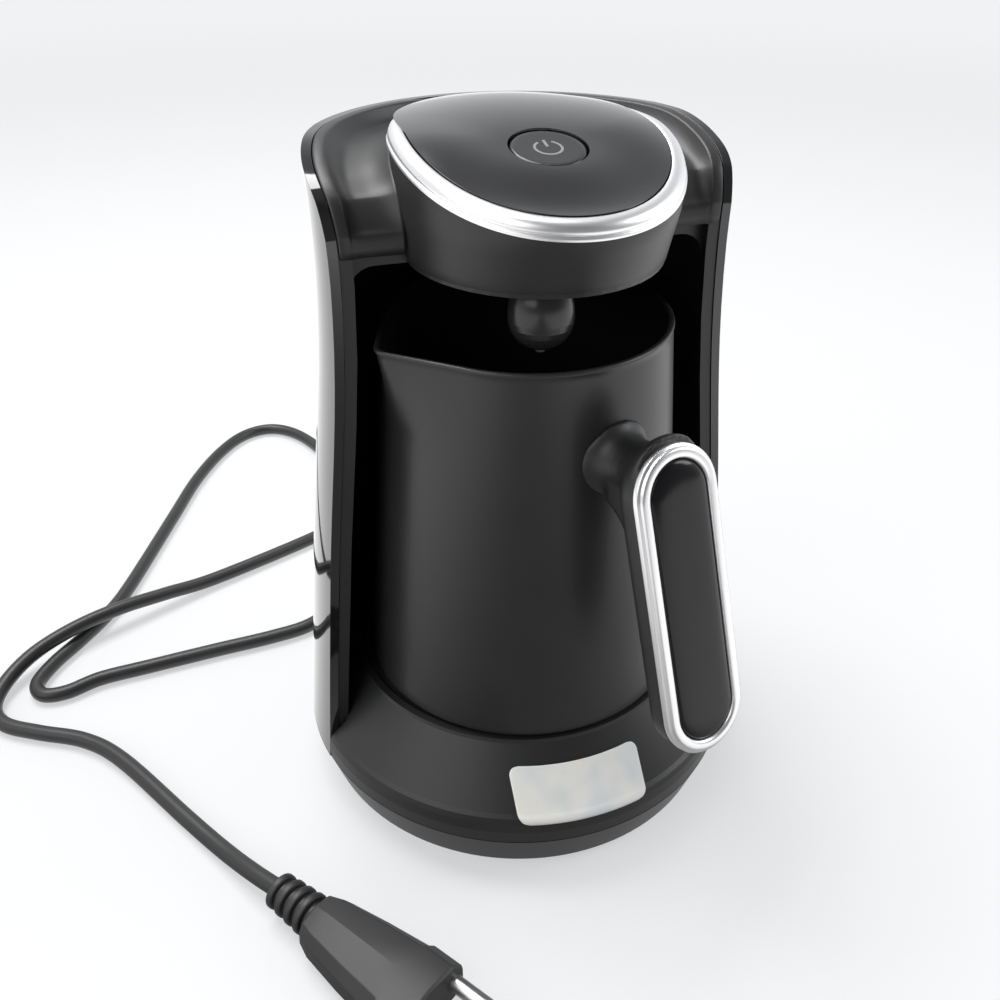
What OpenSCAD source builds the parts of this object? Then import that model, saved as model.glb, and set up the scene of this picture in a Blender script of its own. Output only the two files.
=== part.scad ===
// Electric turkish coffee maker: a round heating base with a hood behind and
// above it, a sloping head with a push button, and a lift-out pot with a handle.
// Millimetres, Z up, front towards -Y. The floor is z = 0.

/* [Base] */
// radius of the base at the seam between tray and deck
base_r = 73; // [60:0.5:90]
// height of the feet under the tray
foot_h = 3.5; // [2:0.5:6]
// height of the seam above the floor
seam_z = 17; // [12:0.5:24]
// how far the tray's bottom edge lies inside the seam
tray_inset = 4; // [1:0.5:10]
// wall of the moulded base parts
base_wall = 2.4; // [1.6:0.1:3.5]
// how far the deck's upper edge, where the cone starts, lies inside the seam
deck_inset = 2.4; // [1.4:0.2:5]
// height of that edge above the floor
deck_edge_z = 27.2; // [24:0.2:34]
// height of the deck's inner lip above the floor
lip_z = 43.6; // [38:0.2:50]
// radial width of the dark groove round the heating plate
groove_w = 2.6; // [1:0.1:4]
// height of the heating plate above the deck's lip
plate_rise = 0.4; // [0.2:0.1:2]
// thickness of the heating plate
plate_t = 3; // [2:0.2:5]
// radius of one rubber foot
foot_r = 6.5; // [4:0.5:9]
// how far the feet's middles lie inside the tray's bottom edge
foot_inset = 10; // [8.5:0.5:20]

/* [Housing] */
// height of the housing's top edge above the floor
top_z = 208.6; // [190:0.5:225]
// thickness of the glossy rear shell
shell_t = 2.6; // [1.6:0.1:4]
// width of the matt rim band inside the shell
band_w = 3.3; // [2:0.1:6]
// depth of the dished shoulder behind and under that band
dish_drop = 4.2; // [2:0.1:7]
// groove between shell and frame
shell_gap = 0.3; // [0.2:0.05:0.6]
// how far the wings' front edge lies ahead of the base's axis, at the seam
wing_front = 17.3; // [8:0.1:24]
// how far that edge leans back on its way up
wing_lean = 4.8; // [0:0.1:8]
// height of the arch over the pot
arch_z = 181; // [172:0.5:188]
// radius of the arch's upper corners
arch_r = 7; // [3:0.5:12]

/* [Head] */
// half width of the trim ring
head_w = 37.3; // [30:0.1:45]
// reach of the ring ahead of the base's axis
head_front = 53; // [44:0.5:60]
// reach of the ring behind the base's axis
head_back = 45; // [35:0.5:48]
// height of the ring's lower edge at the front
ring_z0 = 196.7; // [192:0.1:204]
// rise of the ring from front to back, the part in the curved step
ring_step = 7.6; // [3:0.1:12]
// height of the ring's two bands together
ring_h = 4; // [2.5:0.1:6]
// width of the ring seen from above
ring_w = 4.2; // [3:0.1:6]
// how far the top plate swells over its edge
crown = 2; // [1:0.1:4]
// wall of the head
head_wall = 2.4; // [1.6:0.1:3.5]
// how far the head's bottom is drawn in at the front
head_taper = 8; // [2:0.5:12]

/* [Button] */
// radius of the button's cap
button_r = 9.8; // [7:0.1:13]
// gap all round the cap
button_gap = 0.35; // [0.2:0.05:0.8]
// travel of the button
button_travel = 1.2; // [0.6:0.1:2]
// place of the button ahead of the base's axis
button_y = 17.5; // [10:0.5:26]

/* [Pot] */
// outer radius of the pot at its bottom
pot_r0 = 51.3; // [40:0.1:54]
// outer radius of the pot at its rim
pot_r1 = 41.2; // [34:0.1:46]
// height of the pot
pot_h = 117.4; // [90:0.2:118]
// wall of the pot
pot_wall = 1.5; // [0.8:0.1:2.5]
// place of the pot's axis ahead of the base's axis
pot_y = 4.5; // [0:0.1:7]
// the handle's turn towards the right
handle_turn = 16; // [0:1:20]
// reach of the spout's tip from the pot's axis
spout_reach = 48.6; // [44:0.2:52]
// how far the pot is drawn out to the front
pull_out = 165; // [100:1:200]

/* [Handle] */
// length of the grip
grip_l = 87.1; // [70:0.2:100]
// width of the grip
grip_w = 26.8; // [20:0.2:32]
// thickness of the grip
grip_t = 10.5; // [8:0.1:14]
// lean of the grip from upright
grip_lean = 18.6; // [8:0.2:24]
// distance of the grip's face from the pot's axis, at its middle
grip_reach = 77.8; // [74:0.2:90]
// height of the grip's middle above the floor
grip_z = 107.2; // [100:0.2:120]
// width of the silver band on the grip
trim_w = 4; // [3:0.1:6]
// radius of the arm between pot and grip, at its neck
arm_r = 7.2; // [5:0.1:9]
// height where the arm meets the pot
arm_z = 134; // [120:0.5:145]

/* [Probe] */
// radius of the overflow sensor's bulb
bulb_r = 8.6; // [6:0.1:10]
// clear height between pot rim and the sensor's pin
pin_clear = 0.8; // [0.5:0.1:4]

/* [Cord] */
// diameter of the power cord
cord_d = 5.6; // [4.5:0.1:7]
// turn of the cord's exit from the rear towards the left
exit_turn = 0; // [0:1:40]
// length of the tapered gland at the exit
gland_l = 24; // [20:1:40]
// length of the plug's body
plug_l = 42; // [36:1:56]
// spacing of the plug's pins
pin_pitch = 19; // [18:0.1:20]

/* [Hidden] */
$fn = 96;
eps = 0.01;
run = 0.3;                 // clearance between pieces that move or stack
rest = 0.2;                // clearance under the standing pot

black = [0.07, 0.07, 0.075];
silver = [0.78, 0.78, 0.8];
steel = [0.7, 0.7, 0.72];

// the whole stands so that its outline, front to back, is centred on y = 0
axis_y = -2.1;
module axis() translate([0, axis_y, 0]) children();

// ---- profiles of the base ----
tray_low_r = base_r - tray_inset;         // tray's radius at its bottom edge
deck_edge_r = base_r - deck_inset;        // deck's radius where the cone starts
foot_pitch_r = tray_low_r - foot_inset;
lip_r = pot_r0 + groove_w + 2.6;          // outer edge of the deck's lip
plate_r = pot_r0 - 0.6;
seat_r = plate_r + groove_w;              // outer wall of the groove
plate_z = lip_z + plate_rise;             // top of the heating plate
ledge_z = plate_z - plate_t;              // what the plate lies on
cone_dx = deck_edge_r - lip_r;
cone_dz = lip_z - 1 - deck_edge_z;
cone_l = sqrt(cone_dx * cone_dx + cone_dz * cone_dz);
cone_nx = cone_dz / cone_l;               // normal of the deck's cone
cone_nz = cone_dx / cone_l;
in_edge = [deck_edge_r - base_wall * cone_nx, deck_edge_z - base_wall * cone_nz];
ledge_low = ledge_z - base_wall;
in_top_r = in_edge[0] - (ledge_low - in_edge[1]) * cone_dx / cone_dz;

// the deck's outer surface, from the seam up to the lip, grown by g
function deck_line(g) = [
  [base_r + g, seam_z + run], [base_r + g, seam_z + 4.5],
  [base_r - 0.4 + g, deck_edge_z - 2.6], [base_r - 1.1 + g, deck_edge_z - 0.9],
  [deck_edge_r + g * cone_nx, deck_edge_z + g * cone_nz],
  [lip_r + g * cone_nx, lip_z - 1 + g * cone_nz], [lip_r - 0.5, lip_z + g]];

// ---- profiles of the housing ----
// outer radius of the rear shell at a height
function shell_r(z) = lookup(z, [[seam_z, base_r + 0.4], [57, base_r - 3.4],
  [97, base_r - 7.5], [137, base_r - 12.3], [157, base_r - 14.2],
  [177, base_r - 15.2], [192, base_r - 15.1], [top_z, base_r - 14.4]]);
heights = [seam_z + run, 37, 57, 77, 97, 117, 137, 147, 157, 167, 177, 184.5, 192,
  top_z - 1.2];
// body of revolution under the shell's outer surface, g inside it
module housing_round(g, top = top_z) rotate_extrude() polygon(concat([[0, seam_z + run]],
  [for (z = heights) [shell_r(z) - g, z]], [[shell_r(top_z) - g - 1, top], [0, top]]));
// side view of the housing's front edge, from the seam up and over, g inside it
function wing_y(z) = -wing_front + wing_lean * (z - seam_z) / 180;
function side_line(g) = [[wing_y(seam_z) + g, seam_z - 20], [wing_y(70) + g, 70],
  [wing_y(130) + g, 130], [wing_y(top_z - 24) + g, top_z - 24],
  [wing_y(top_z - 17) + 0.5 + g, top_z - 17], [-9.4 + g, top_z - 11.2 - 0.3 * g],
  [-6.4 + g, top_z - 8.4 - 0.6 * g], [-2 + 0.8 * g, top_z - 6.2 - 0.8 * g],
  [4 + 0.5 * g, top_z - 4.2 - g], [11 + 0.3 * g, top_z - 2.2 - g],
  [19, top_z - 0.6 - g], [29, top_z - g], [120, top_z - g], [120, seam_z - 20]];
module side_prism(g) rotate([90, 0, 90])
  linear_extrude(240, center = true) polygon(side_line(g));

frame_gap = shell_t + shell_gap;          // from shell surface to frame surface
cave_gap = frame_gap + band_w;            // from shell surface to the cavity's wall
cave_back = 50;                           // the cavity's flat back wall
duct_y = cave_back + base_wall;

// ---- plan and height of the head ----
function egg(w, front, back, n = 72) = [for (i = [0 : n - 1])
  let(a = 360 * i / n, c = -cos(a)) [w * sin(a), -8 + (c < 0 ? front - 8 : back + 8) * c]];
function smooth(k) = 3 * k * k - 2 * k * k * k;
// height of the ring's lower edge at a distance y from the base's axis
function ring_z(y) = ring_z0 + 0.07 * (min(y, 2) + head_front) - 0.03 * max(0, y - 2)
  + ring_step * smooth(min(1, max(0, (y + 61) / 59.5)));
ring_ys = [for (y = [-62 : 4 : 58]) y];
module slab(a, b) rotate([90, 0, 90]) linear_extrude(120, center = true)
  polygon(concat([for (y = ring_ys) [y, ring_z(y) + a]],
                 [for (i = [len(ring_ys) - 1 : -1 : 0]) [ring_ys[i], ring_z(ring_ys[i]) + b]]));
module egg_prism(inset) translate([0, 0, arch_z - 5]) linear_extrude(60)
  polygon(egg(head_w - inset, head_front - inset, head_back - inset));
// the head's drum, drawn in towards its bottom; inset makes the hollow
module drum(inset, low, high) hull() {
  translate([0, 0, high]) linear_extrude(0.1)
    polygon(egg(head_w - 0.8 - inset, head_front - 0.8 - inset, head_back - 2 - inset, 48));
  translate([0, 0, low]) linear_extrude(0.1)
    polygon(egg(head_w - 2.2 - inset, head_front - head_taper - inset, head_back - 2 - inset, 48));
}
plate_top = ring_h + 0.5;                 // top plate over the ring's lower edge
plate_thick = 2.6;
crown_r = (head_w * head_w / crown + crown) / 2;  // the plate is a part of so large a round
// its top line lies nearly flat behind and climbs with the ring in front
module plate_crown() translate([0, 0, ring_z(2) + plate_top + crown - crown_r])
  rotate([91.7, 0, 0]) translate([0, 0, -90]) cylinder(h = 200, r = crown_r, $fn = 720);
crown_tilt = atan((ring_z(-button_y) - ring_z(-48)) / (48 - button_y));
module plate_front() translate([0, -button_y, ring_z(-button_y) + plate_top + crown / 2])
  rotate([90 + crown_tilt, 0, 0]) translate([0, -crown_r, -110]) cylinder(h = 200, r = crown_r, $fn = 720);

// ---- button frame: its cap's middle, its axis square to the top plate ----
button_z = ring_z(-button_y) + plate_top;
button_tilt = atan((ring_z(-button_y + 6) - ring_z(-button_y - 6)) / 12);
module button_frame() axis() translate([0, -button_y, button_z])
  rotate([button_tilt, 0, 0]) children();
board_depth = 13;                         // board's upper face under the cap's top
post_x = 16;
post_y = 9;
switch_h = 5;

// ---- pot and handle frames ----
pot_z = plate_z + rest;
rim_z = pot_z + pot_h;
function pot_r(z) = pot_r0 + (pot_r1 - pot_r0) * (z - pot_z) / pot_h;
module pot_frame() axis() translate([0, -pot_y, 0]) children();
module handle_frame() pot_frame() rotate([0, 0, handle_turn]) children();
module grip_frame() handle_frame() translate([0, -grip_reach, grip_z])
  rotate([-grip_lean, 0, 0]) children();
arm_y0 = pot_r(arm_z);
arm_up = 4;                               // the arm climbs this much to the grip
arm_l = grip_reach - (arm_z + arm_up - grip_z) * tan(grip_lean) - grip_t - arm_y0 + 1.2;
probe_y = 33;
probe_x = -6.4;
pin_z = rim_z + pin_clear;

// ---- cord ----
exit_r = base_r + run;
cord_low = cord_d / 2 + 0.2;
exit_z = 12;
neck_r2 = 4.3;                            // gland where it passes the tray's wall
flange_r = tray_low_r - base_wall - 2.6;  // outer face of the flange inside the tray
exit_dir = [-sin(exit_turn), cos(exit_turn)];
gland_end = [exit_dir[0] * (exit_r + gland_l), exit_dir[1] * (exit_r + gland_l)];
plug_a = [-94.5, -57, 8];                 // where the cord enters the plug
plug_dir = [0.573, -0.8196];                   // the way the plug points
lift = cord_low;
// the cord's way over the table, from gland to plug, in the base axis's frame
route = [
  [gland_end[0] + 0.05 * exit_dir[0], gland_end[1] + 0.05 * exit_dir[1], exit_z],
  [gland_end[0] + 9 * exit_dir[0], gland_end[1] + 9 * exit_dir[1], exit_z - 1.4],
  [-7, 115.5, lift + 3], [-23, 120, lift + 0.4], [-38, 111.5, lift], [-46, 95, lift],
  [-53.5, 79.5, lift], [-66, 69.5, lift], [-82, 66.4, lift], [-104, 65, lift],
  [-130, 63, lift], [-148, 61.5, lift], [-160, 57.5, lift], [-168.5, 58.5, lift], [-171, 65.5, lift], [-165.5, 76, lift],
  [-156, 87.5, lift], [-146, 101, lift], [-137, 118, lift],
  [-117, 167, lift], [-104, 199, lift], [-90, 224, lift], [-76, 239, lift],
  [-61, 242, lift], [-48, 231, lift], [-38, 208, lift], [-33, 180, lift],
  [-34, 156, lift], [-43, 139, lift], [-58, 130, lift],
  [-101, 112, lift + 0.8], [-122, 103.5, lift + 3.6], [-140, 96, lift + 5.9],
  [-157, 88, lift + 6.2], [-172, 79, lift + 4.4], [-182, 68, lift + 1.8],
  [-185.5, 56.5, lift + 0.3], [-181, 46.5, lift], [-169, 38.5, lift],
  [-153, 29.5, lift], [-140, 15.5, lift], [-120, -17, lift], [-109.5, -34, lift + 0.8],
  [-101.6, -46.8, lift + 3.2], [plug_a[0], plug_a[1], plug_a[2]]];

function cat(a, b, c, d, t) = 0.5 * (2 * b + (c - a) * t + (2 * a - 5 * b + 4 * c - d) * t * t
  + (3 * b - a - 3 * c + d) * t * t * t);
last = len(route) - 1;
function way(u) = let(i = min(last - 1, floor(u)), t = u - i)
  cat(route[max(0, i - 1)], route[i], route[i + 1], route[min(last, i + 2)], t);
cord_rings = 2 * last;
cord_sides = 10;
function unit(v) = v / norm(v);
cord_path = [for (k = [0 : cord_rings]) way(k / 2)];
cord_points = [for (k = [0 : cord_rings])
  let(d = unit(k == 0 ? concat(exit_dir, 0) : k == cord_rings ? concat(plug_dir, 0)
          : cord_path[k + 1] - cord_path[k - 1]),
      s = unit(cross([0, 0, 1], d)), n = cross(d, s))
  for (j = [0 : cord_sides - 1]) let(a = 360 * (j + 0.5) / cord_sides)
    cord_path[k] + cord_d / 2 * (cos(a) * s + sin(a) * n)];
cord_faces = concat([[for (j = [cord_sides - 1 : -1 : 0]) j]],
  [for (k = [0 : cord_rings - 1]) for (j = [0 : cord_sides - 1])
    let(a = k * cord_sides + j, b = k * cord_sides + (j + 1) % cord_sides)
    each [[a, b, b + cord_sides], [a, b + cord_sides, a + cord_sides]]],
  [[for (j = [0 : cord_sides - 1]) cord_rings * cord_sides + j]]);

// ================= base =================
tray_z = foot_h - 0.5;
tray_in = tray_z + base_wall;
boss_pitch = plate_r - 1;
board_z = 14;

module boss_places() for (a = [0 : 90 : 270]) rotate([0, 0, a]) translate([boss_pitch, 0, 0])
  children();
module foot_places() for (a = [45 : 90 : 315]) rotate([0, 0, a])
  translate([foot_pitch_r, 0, 0]) children();

module base_tray() color(black) axis() difference() {
  union() {
    rotate_extrude() polygon([[0, tray_z], [tray_low_r - 1.5, tray_z],
      [tray_low_r, tray_z + 1.2], [base_r, seam_z], [base_r - base_wall, seam_z],
      [tray_low_r - base_wall, tray_in], [0, tray_in]]);
    for (x = [-26, 26], y = [-18, 18]) translate([x, y, tray_in - eps])
      cylinder(h = board_z - tray_in + eps, r = 2.6);
  }
  foot_places() translate([0, 0, tray_z - 1]) cylinder(h = 1.5, r = foot_r + 0.1);
  boss_places() translate([0, 0, tray_z - 1]) {
    cylinder(h = 10, r = 1.8);
    cylinder(h = 1.9, r = 3.2);
  }
  rotate([0, 0, exit_turn]) translate([0, 40, exit_z]) rotate([-90, 0, 0])
    cylinder(h = 50, r = neck_r2 + 0.2);
  // slots that let air in under the board
  for (x = [-18 : 6 : 18]) translate([x - 1, -12, tray_z - 1]) cube([2, 24, 5]);
}

module rubber_feet() color([0.05, 0.05, 0.05]) axis() foot_places() union() {
  cylinder(h = foot_h - 1, r = foot_r);
  translate([0, 0, foot_h - 1 - eps]) cylinder(h = 1 + eps, r = foot_r - 0.4);
}

module base_screws() color(steel) axis() boss_places() union() {
  translate([0, 0, tray_z - 0.6]) cylinder(h = 1.4, r = 2.9);
  translate([0, 0, tray_z + 0.6]) cylinder(h = 13, r = 1.5);
}

back_r = shell_r(seam_z) - frame_gap - band_w - 0.6;

module base_deck() color(black) axis() difference() {
  union() {
    difference() {
      rotate_extrude() polygon(concat(deck_line(0),
        [[seat_r + 0.4, lip_z], [seat_r, lip_z - 0.4], [seat_r, ledge_z],
         [boss_pitch - 4.5, ledge_z], [boss_pitch - 4.5, ledge_low], [in_top_r, ledge_low],
         in_edge, [base_r - base_wall, in_edge[1] - 1], [base_r - base_wall, seam_z + run]]));
      intersection() {
        side_prism(-run);
        difference() {
          cylinder(h = 60, r = base_r + 10);
          translate([0, 0, -1]) cylinder(h = 62, r = back_r);
        }
      }
    }
    // the inner wall that the housing stands round
    intersection() {
      side_prism(-run);
      rotate_extrude() polygon([[back_r - base_wall, seam_z + run], [back_r, seam_z + run],
        [back_r, deck_edge_z + (deck_edge_r - back_r) * cone_dz / cone_dx - 0.3],
        [back_r - base_wall, deck_edge_z + (deck_edge_r - back_r) * cone_dz / cone_dx - 0.8]]);
    }
    boss_places() translate([0, 0, tray_in + 0.05])
      cylinder(h = ledge_low - tray_in + 0.5, r = 3.6);
  }
  boss_places() translate([0, 0, tray_in - 1]) cylinder(h = 14, r = 1.55);
}

module heating_plate() color([0.25, 0.25, 0.26]) axis() rotate_extrude()
  polygon([[0, ledge_z + 0.05], [plate_r - 0.1, ledge_z + 0.05], [plate_r - 0.1, plate_z - 0.6],
    [plate_r - 0.7, plate_z], [0, plate_z]]);

module plate_seal() color([0.12, 0.12, 0.12]) axis() rotate_extrude()
  polygon([[plate_r + 0.1, ledge_z + 0.05], [seat_r - 0.1, ledge_z + 0.05],
    [seat_r - 0.1, ledge_z + 0.9], [plate_r + 0.1, ledge_z + 0.9]]);

element_r = 3.3;
element_z = ledge_z - element_r - 0.1;
module heating_element() color(steel) axis() translate([0, 0, element_z]) union() {
  rotate([0, 0, 115]) rotate_extrude(angle = 310) translate([30, 0]) circle(r = element_r);
  for (a = [65, 115]) rotate([0, 0, a]) translate([30, 0, 0])
    rotate([a == 115 ? 90 : -90, 0, 0]) cylinder(h = 5, r = 1.2);
}

module plate_clamps() color(steel) axis() for (a = [30, 150, 270]) rotate([0, 0, a]) union() {
  translate([18, -3.5, element_z - element_r - 2]) cube([24, 7, 1.8]);
  for (x = [22, 38]) translate([x, 0, element_z - element_r - 0.4])
    cylinder(h = ledge_z - element_z + element_r + 0.4, r = 1.6);
}

module thermal_fuse() color([0.8, 0.8, 0.78]) axis() translate([-8, 6, ledge_z - 2.4])
  rotate([0, 90, 0]) union() {
    cylinder(h = 16, r = 2.3);
    translate([0, 0, -6]) cylinder(h = 28, r = 0.6);
  }

module power_board() color([0.1, 0.35, 0.18]) axis() difference() {
  translate([-31, -23, board_z]) cube([62, 46, 1.6]);
  for (x = [-26, 26], y = [-18, 18]) translate([x, y, board_z - 1]) cylinder(h = 4, r = 1.4);
}

module board_relay() color([0.1, 0.2, 0.45]) axis()
  translate([-16, -8, board_z + 1.6]) cube([20, 16, 14]);

// ================= housing =================
arch_steps = 6;
// the space behind and beside the pot, up to the arch
module cavity() intersection() {
  rotate_extrude() polygon(concat([[0, -1], [shell_r(seam_z) - cave_gap, -1]],
    [for (z = heights) if (z < arch_z - arch_r - 1) [shell_r(z) - cave_gap, z]],
    [for (k = [0 : arch_steps]) let(a = 90 * k / arch_steps)
      [shell_r(arch_z - arch_r) - cave_gap - arch_r * (1 - cos(a)),
       arch_z - arch_r + arch_r * sin(a)]], [[0, arch_z]]));
  translate([-100, -100 , -5]) cube([200, 100 + cave_back, 300]);
}
// the hollow of the hood above the arch, and the duct behind the cavity
module hood_hollow() {
  intersection() {
    housing_round(frame_gap + head_wall, top_z);
    side_prism(dish_drop + head_wall);
    translate([-100, -100, arch_z + head_wall]) cube([200, 200, 100]);
  }
  intersection() {
    housing_round(frame_gap + head_wall, top_z);
    translate([-100, duct_y, seam_z - 1]) cube([200, 100, arch_z - seam_z + 5]);
  }
}
module deck_envelope(g) rotate_extrude() polygon([[0, 0], [back_r + g, 0],
  [back_r + g, deck_edge_z + (deck_edge_r - back_r) * cone_dz / cone_dx],
  [lip_r + g * cone_nx, lip_z - 1 + g * cone_nz], [lip_r - 1, lip_z + g], [0, lip_z + g]]);
module head_solid(inset) {
  drum(inset, arch_z - (inset > 0 ? 1 : 0), ring_z0);
  intersection() {
    egg_prism(0.8 + inset);
    translate([-100, -100, ring_z0]) cube([200, 200, 60]);
  }
}

module front_frame() color(black) axis() difference() {
  union() {
    difference() {
      intersection() { housing_round(frame_gap, top_z - 0.5); side_prism(0.4); }
      difference() {
        translate([0, 0, 0.02]) housing_round(cave_gap, top_z + 5);
        side_prism(dish_drop);
      }
    }
    intersection() { head_solid(0); slab(-60, -0.05); }
  }
  hood_hollow();
  head_solid(head_wall);
  cavity();
  deck_envelope(0.15);
}

module rear_shell() color([0.03, 0.03, 0.035]) axis() difference() {
  intersection() { housing_round(0); side_prism(0); }
  rotate_extrude() polygon(concat([[0, 0], [shell_r(seam_z) - shell_t, 0]],
    [for (z = heights) [shell_r(z) - shell_t, z]],
    [[shell_r(top_z) - shell_t, top_z], [shell_r(top_z) - shell_t, top_z + 5], [0, top_z + 5]]));
  rotate([0, 0, exit_turn]) translate([0, 40, exit_z]) rotate([-90, 0, 0])
    cylinder(h = 50, r = 6.9);
}

cover_z = arch_z + 0.5;
cover_t = 2.2;
neck_r = 5.4;
module head_cover() color(black) axis() difference() {
  translate([0, 0, cover_z]) linear_extrude(cover_t)
    polygon(egg(head_w - 2.2 - head_wall - 0.15, head_front - head_taper - head_wall - 0.15,
                head_back - 2 - head_wall - 0.15));
  translate([probe_x, -probe_y, cover_z - 1]) cylinder(h = 5, r = neck_r + 0.2);
}

bulb_z = pin_z + 1.2;                     // bottom of the bulb
module probe_bulb() color([0.06, 0.06, 0.065]) axis() translate([probe_x, -probe_y, 0])
  difference() {
    rotate_extrude() polygon(concat(
      [for (k = [0 : 8]) let(a = 90 * k / 8) [bulb_r * sin(a), bulb_z + 8.4 * (1 - cos(a))]],
      [[bulb_r - 0.5, bulb_z + 11], [neck_r + 1.2, bulb_z + 14], [neck_r + 0.8, cover_z - 0.2],
       [neck_r, cover_z - 0.2], [neck_r, cover_z + cover_t + 1.6],
       [0, cover_z + cover_t + 1.6]]));
    translate([0, 0, bulb_z - 1]) cylinder(h = 9, r = 1.45);
  }
module probe_pin() color(steel) axis() translate([probe_x, -probe_y, pin_z]) union() {
  translate([0, 0, 0.5]) cylinder(h = 7, r = 1.4);
  cylinder(h = 0.5, r1 = 0.9, r2 = 1.4);
}

module top_trim_ring() color(silver) axis() difference() {
  union() {
    intersection() { egg_prism(0); slab(0, 1.1); }
    intersection() { egg_prism(0.5); slab(1, ring_h - 0.8); }
    intersection() { egg_prism(1.2); slab(ring_h - 0.9, ring_h); }
  }
  egg_prism(ring_w);
}

module top_plate() color([0.03, 0.03, 0.035]) union() {
  difference() {
    axis() intersection() {
      egg_prism(ring_w + 0.3);
      slab(plate_top - plate_thick, plate_top + crown);
      plate_crown();
      plate_front();
    }
    button_frame() translate([0, 0, -12]) cylinder(h = 24, r = button_r + button_gap);
  }
  button_frame() difference() {
    translate([0, 0, -7]) cylinder(h = 5.6, r = button_r + button_gap + 1.4);
    translate([0, 0, -12]) cylinder(h = 24, r = button_r + button_gap);
  }
  button_frame() difference() {
    for (x = [-post_x, post_x], y = [-post_y, post_y])
      translate([x, y, -board_depth]) cylinder(h = board_depth - 1.6, r = 2.3);
    for (x = [-post_x, post_x], y = [-post_y, post_y])
      translate([x, y, -board_depth - 1]) cylinder(h = 8, r = 0.95);
  }
}

module power_mark(g, low, high) {
  translate([0, 0, low]) rotate([0, 0, 120]) rotate_extrude(angle = 300)
    translate([3.5 - 0.35 - g, 0]) square([0.7 + 2 * g, high - low]);
  translate([-0.4 - g, 0.6 - g, low]) cube([0.8 + 2 * g, 3.6 + 2 * g, high - low]);
}
module power_button() color([0.04, 0.04, 0.045]) button_frame() difference() {
  union() {
    translate([0, 0, -2.2]) cylinder(h = 1.9, r = button_r);
    difference() {
      translate([0, 0, -6.2]) cylinder(h = 4.2, r = button_r);
      translate([0, 0, -7]) cylinder(h = 5, r = button_r - 1.4);
    }
    translate([0, 0, -board_depth + switch_h + button_travel + 0.1])
      cylinder(h = board_depth - switch_h - button_travel - 2, r = 2.2);
  }
  power_mark(0.04, -0.75, 1);
}
module button_symbol() color([0.6, 0.6, 0.62]) button_frame() power_mark(0, -0.72, -0.28);

module control_board() color([0.1, 0.35, 0.18]) button_frame() difference() {
  translate([-21, -13.5, -board_depth - 1.6]) cube([42, 27, 1.6]);
  for (x = [-post_x, post_x], y = [-post_y, post_y])
    translate([x, y, -board_depth - 3]) cylinder(h = 5, r = 1.1);
}
module board_screws() color(steel) button_frame()
  for (x = [-post_x, post_x], y = [-post_y, post_y]) translate([x, y, -board_depth - 1.6])
    union() {
      translate([0, 0, -1.3]) cylinder(h = 1.3, r = 1.9);
      translate([0, 0, -0.1]) cylinder(h = 6.1, r = 0.85);
    }
module tact_switch() color([0.15, 0.15, 0.15]) button_frame()
  translate([0, 0, -board_depth]) union() {
    translate([-3, -3, 0]) cube([6, 6, 3.4]);
    cylinder(h = switch_h, r = 1.7);
  }
module buzzer() color([0.08, 0.08, 0.08]) button_frame()
  translate([7, 0, -board_depth - 1.6 - 6]) cylinder(h = 6, r = 5);

// ================= pot =================
spout_tip_r = 3;
spout_deep = 30;                          // how far down the beak runs out
beak_x = pot_r1 * cos(30);                // where its flats leave the rim
beak_y = pot_r1 * sin(30);
// the beak: two upright flats from the rim to a small tip, and a front that slants in
// as it goes down; g inside that form, and open at the top there
module beak(g) intersection() {
  translate([0, 0, rim_z - spout_deep]) linear_extrude(spout_deep + (g > 0 ? 5 : 0)) polygon([
    [0, -30], [-beak_x + g * 0.5, -beak_y + g * 1.1],
    [-spout_reach + 1.6 + g, -spout_tip_r + 0.5 * g], [-spout_reach + g, -spout_tip_r / 3],
    [-spout_reach + g, spout_tip_r / 3], [-spout_reach + 1.6 + g, spout_tip_r - 0.5 * g],
    [-beak_x + g * 0.5, beak_y - g * 1.1], [0, 30]]);
  rotate([90, 0, 0]) linear_extrude(80, center = true) polygon([
    [-spout_reach + g, rim_z + 6], [1, rim_z + 6], [1, rim_z - spout_deep - 1],
    [-spout_reach + g + spout_deep * 0.35, rim_z - spout_deep], [-spout_reach + g, rim_z]]);
}
module pot_body() color(black) difference() {
  union() {
    pot_frame() rotate_extrude() polygon([[0, pot_z], [pot_r0 - 1.6, pot_z],
      [pot_r0 - 0.5, pot_z + 0.5], [pot_r0, pot_z + 1.7], [pot_r1, rim_z], [0, rim_z]]);
    handle_frame() beak(0);
  }
  pot_frame() rotate_extrude() polygon([[0, pot_z + 1.8], [pot_r0 - pot_wall - 1.5, pot_z + 1.8],
    [pot_r0 - pot_wall, pot_z + 3.2], [pot_r1 - pot_wall, rim_z], [pot_r1 - pot_wall, rim_z + 5],
    [0, rim_z + 5]]);
  handle_frame() beak(pot_wall);
}

// a slab with round ends, lying on the grip's face; y counts from that face inwards
module stadium(w, l, y0, y1) union() {
  translate([-w / 2, y0, -(l - w) / 2]) cube([w, y1 - y0, l - w]);
  for (s = [-1, 1]) translate([0, y1, s * (l - w) / 2]) rotate([90, 0, 0])
    cylinder(h = y1 - y0, r = w / 2);
}
arm_tilt = atan(arm_up / arm_l);
module arm() handle_frame() translate([0, -arm_y0, arm_z]) rotate([90 - arm_tilt, 0, 0])
  rotate_extrude() polygon([[0, -3], [arm_r + 4.4, -3], [arm_r + 4.4, 0.3], [arm_r + 2.4, 1.8],
    [arm_r + 1, 3.8], [arm_r, 7], [arm_r, arm_l - 5], [arm_r + 1.2, arm_l - 2.2],
    [arm_r + 3.2, arm_l], [0, arm_l + 1]]);
trim_t = 2.6;
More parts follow.
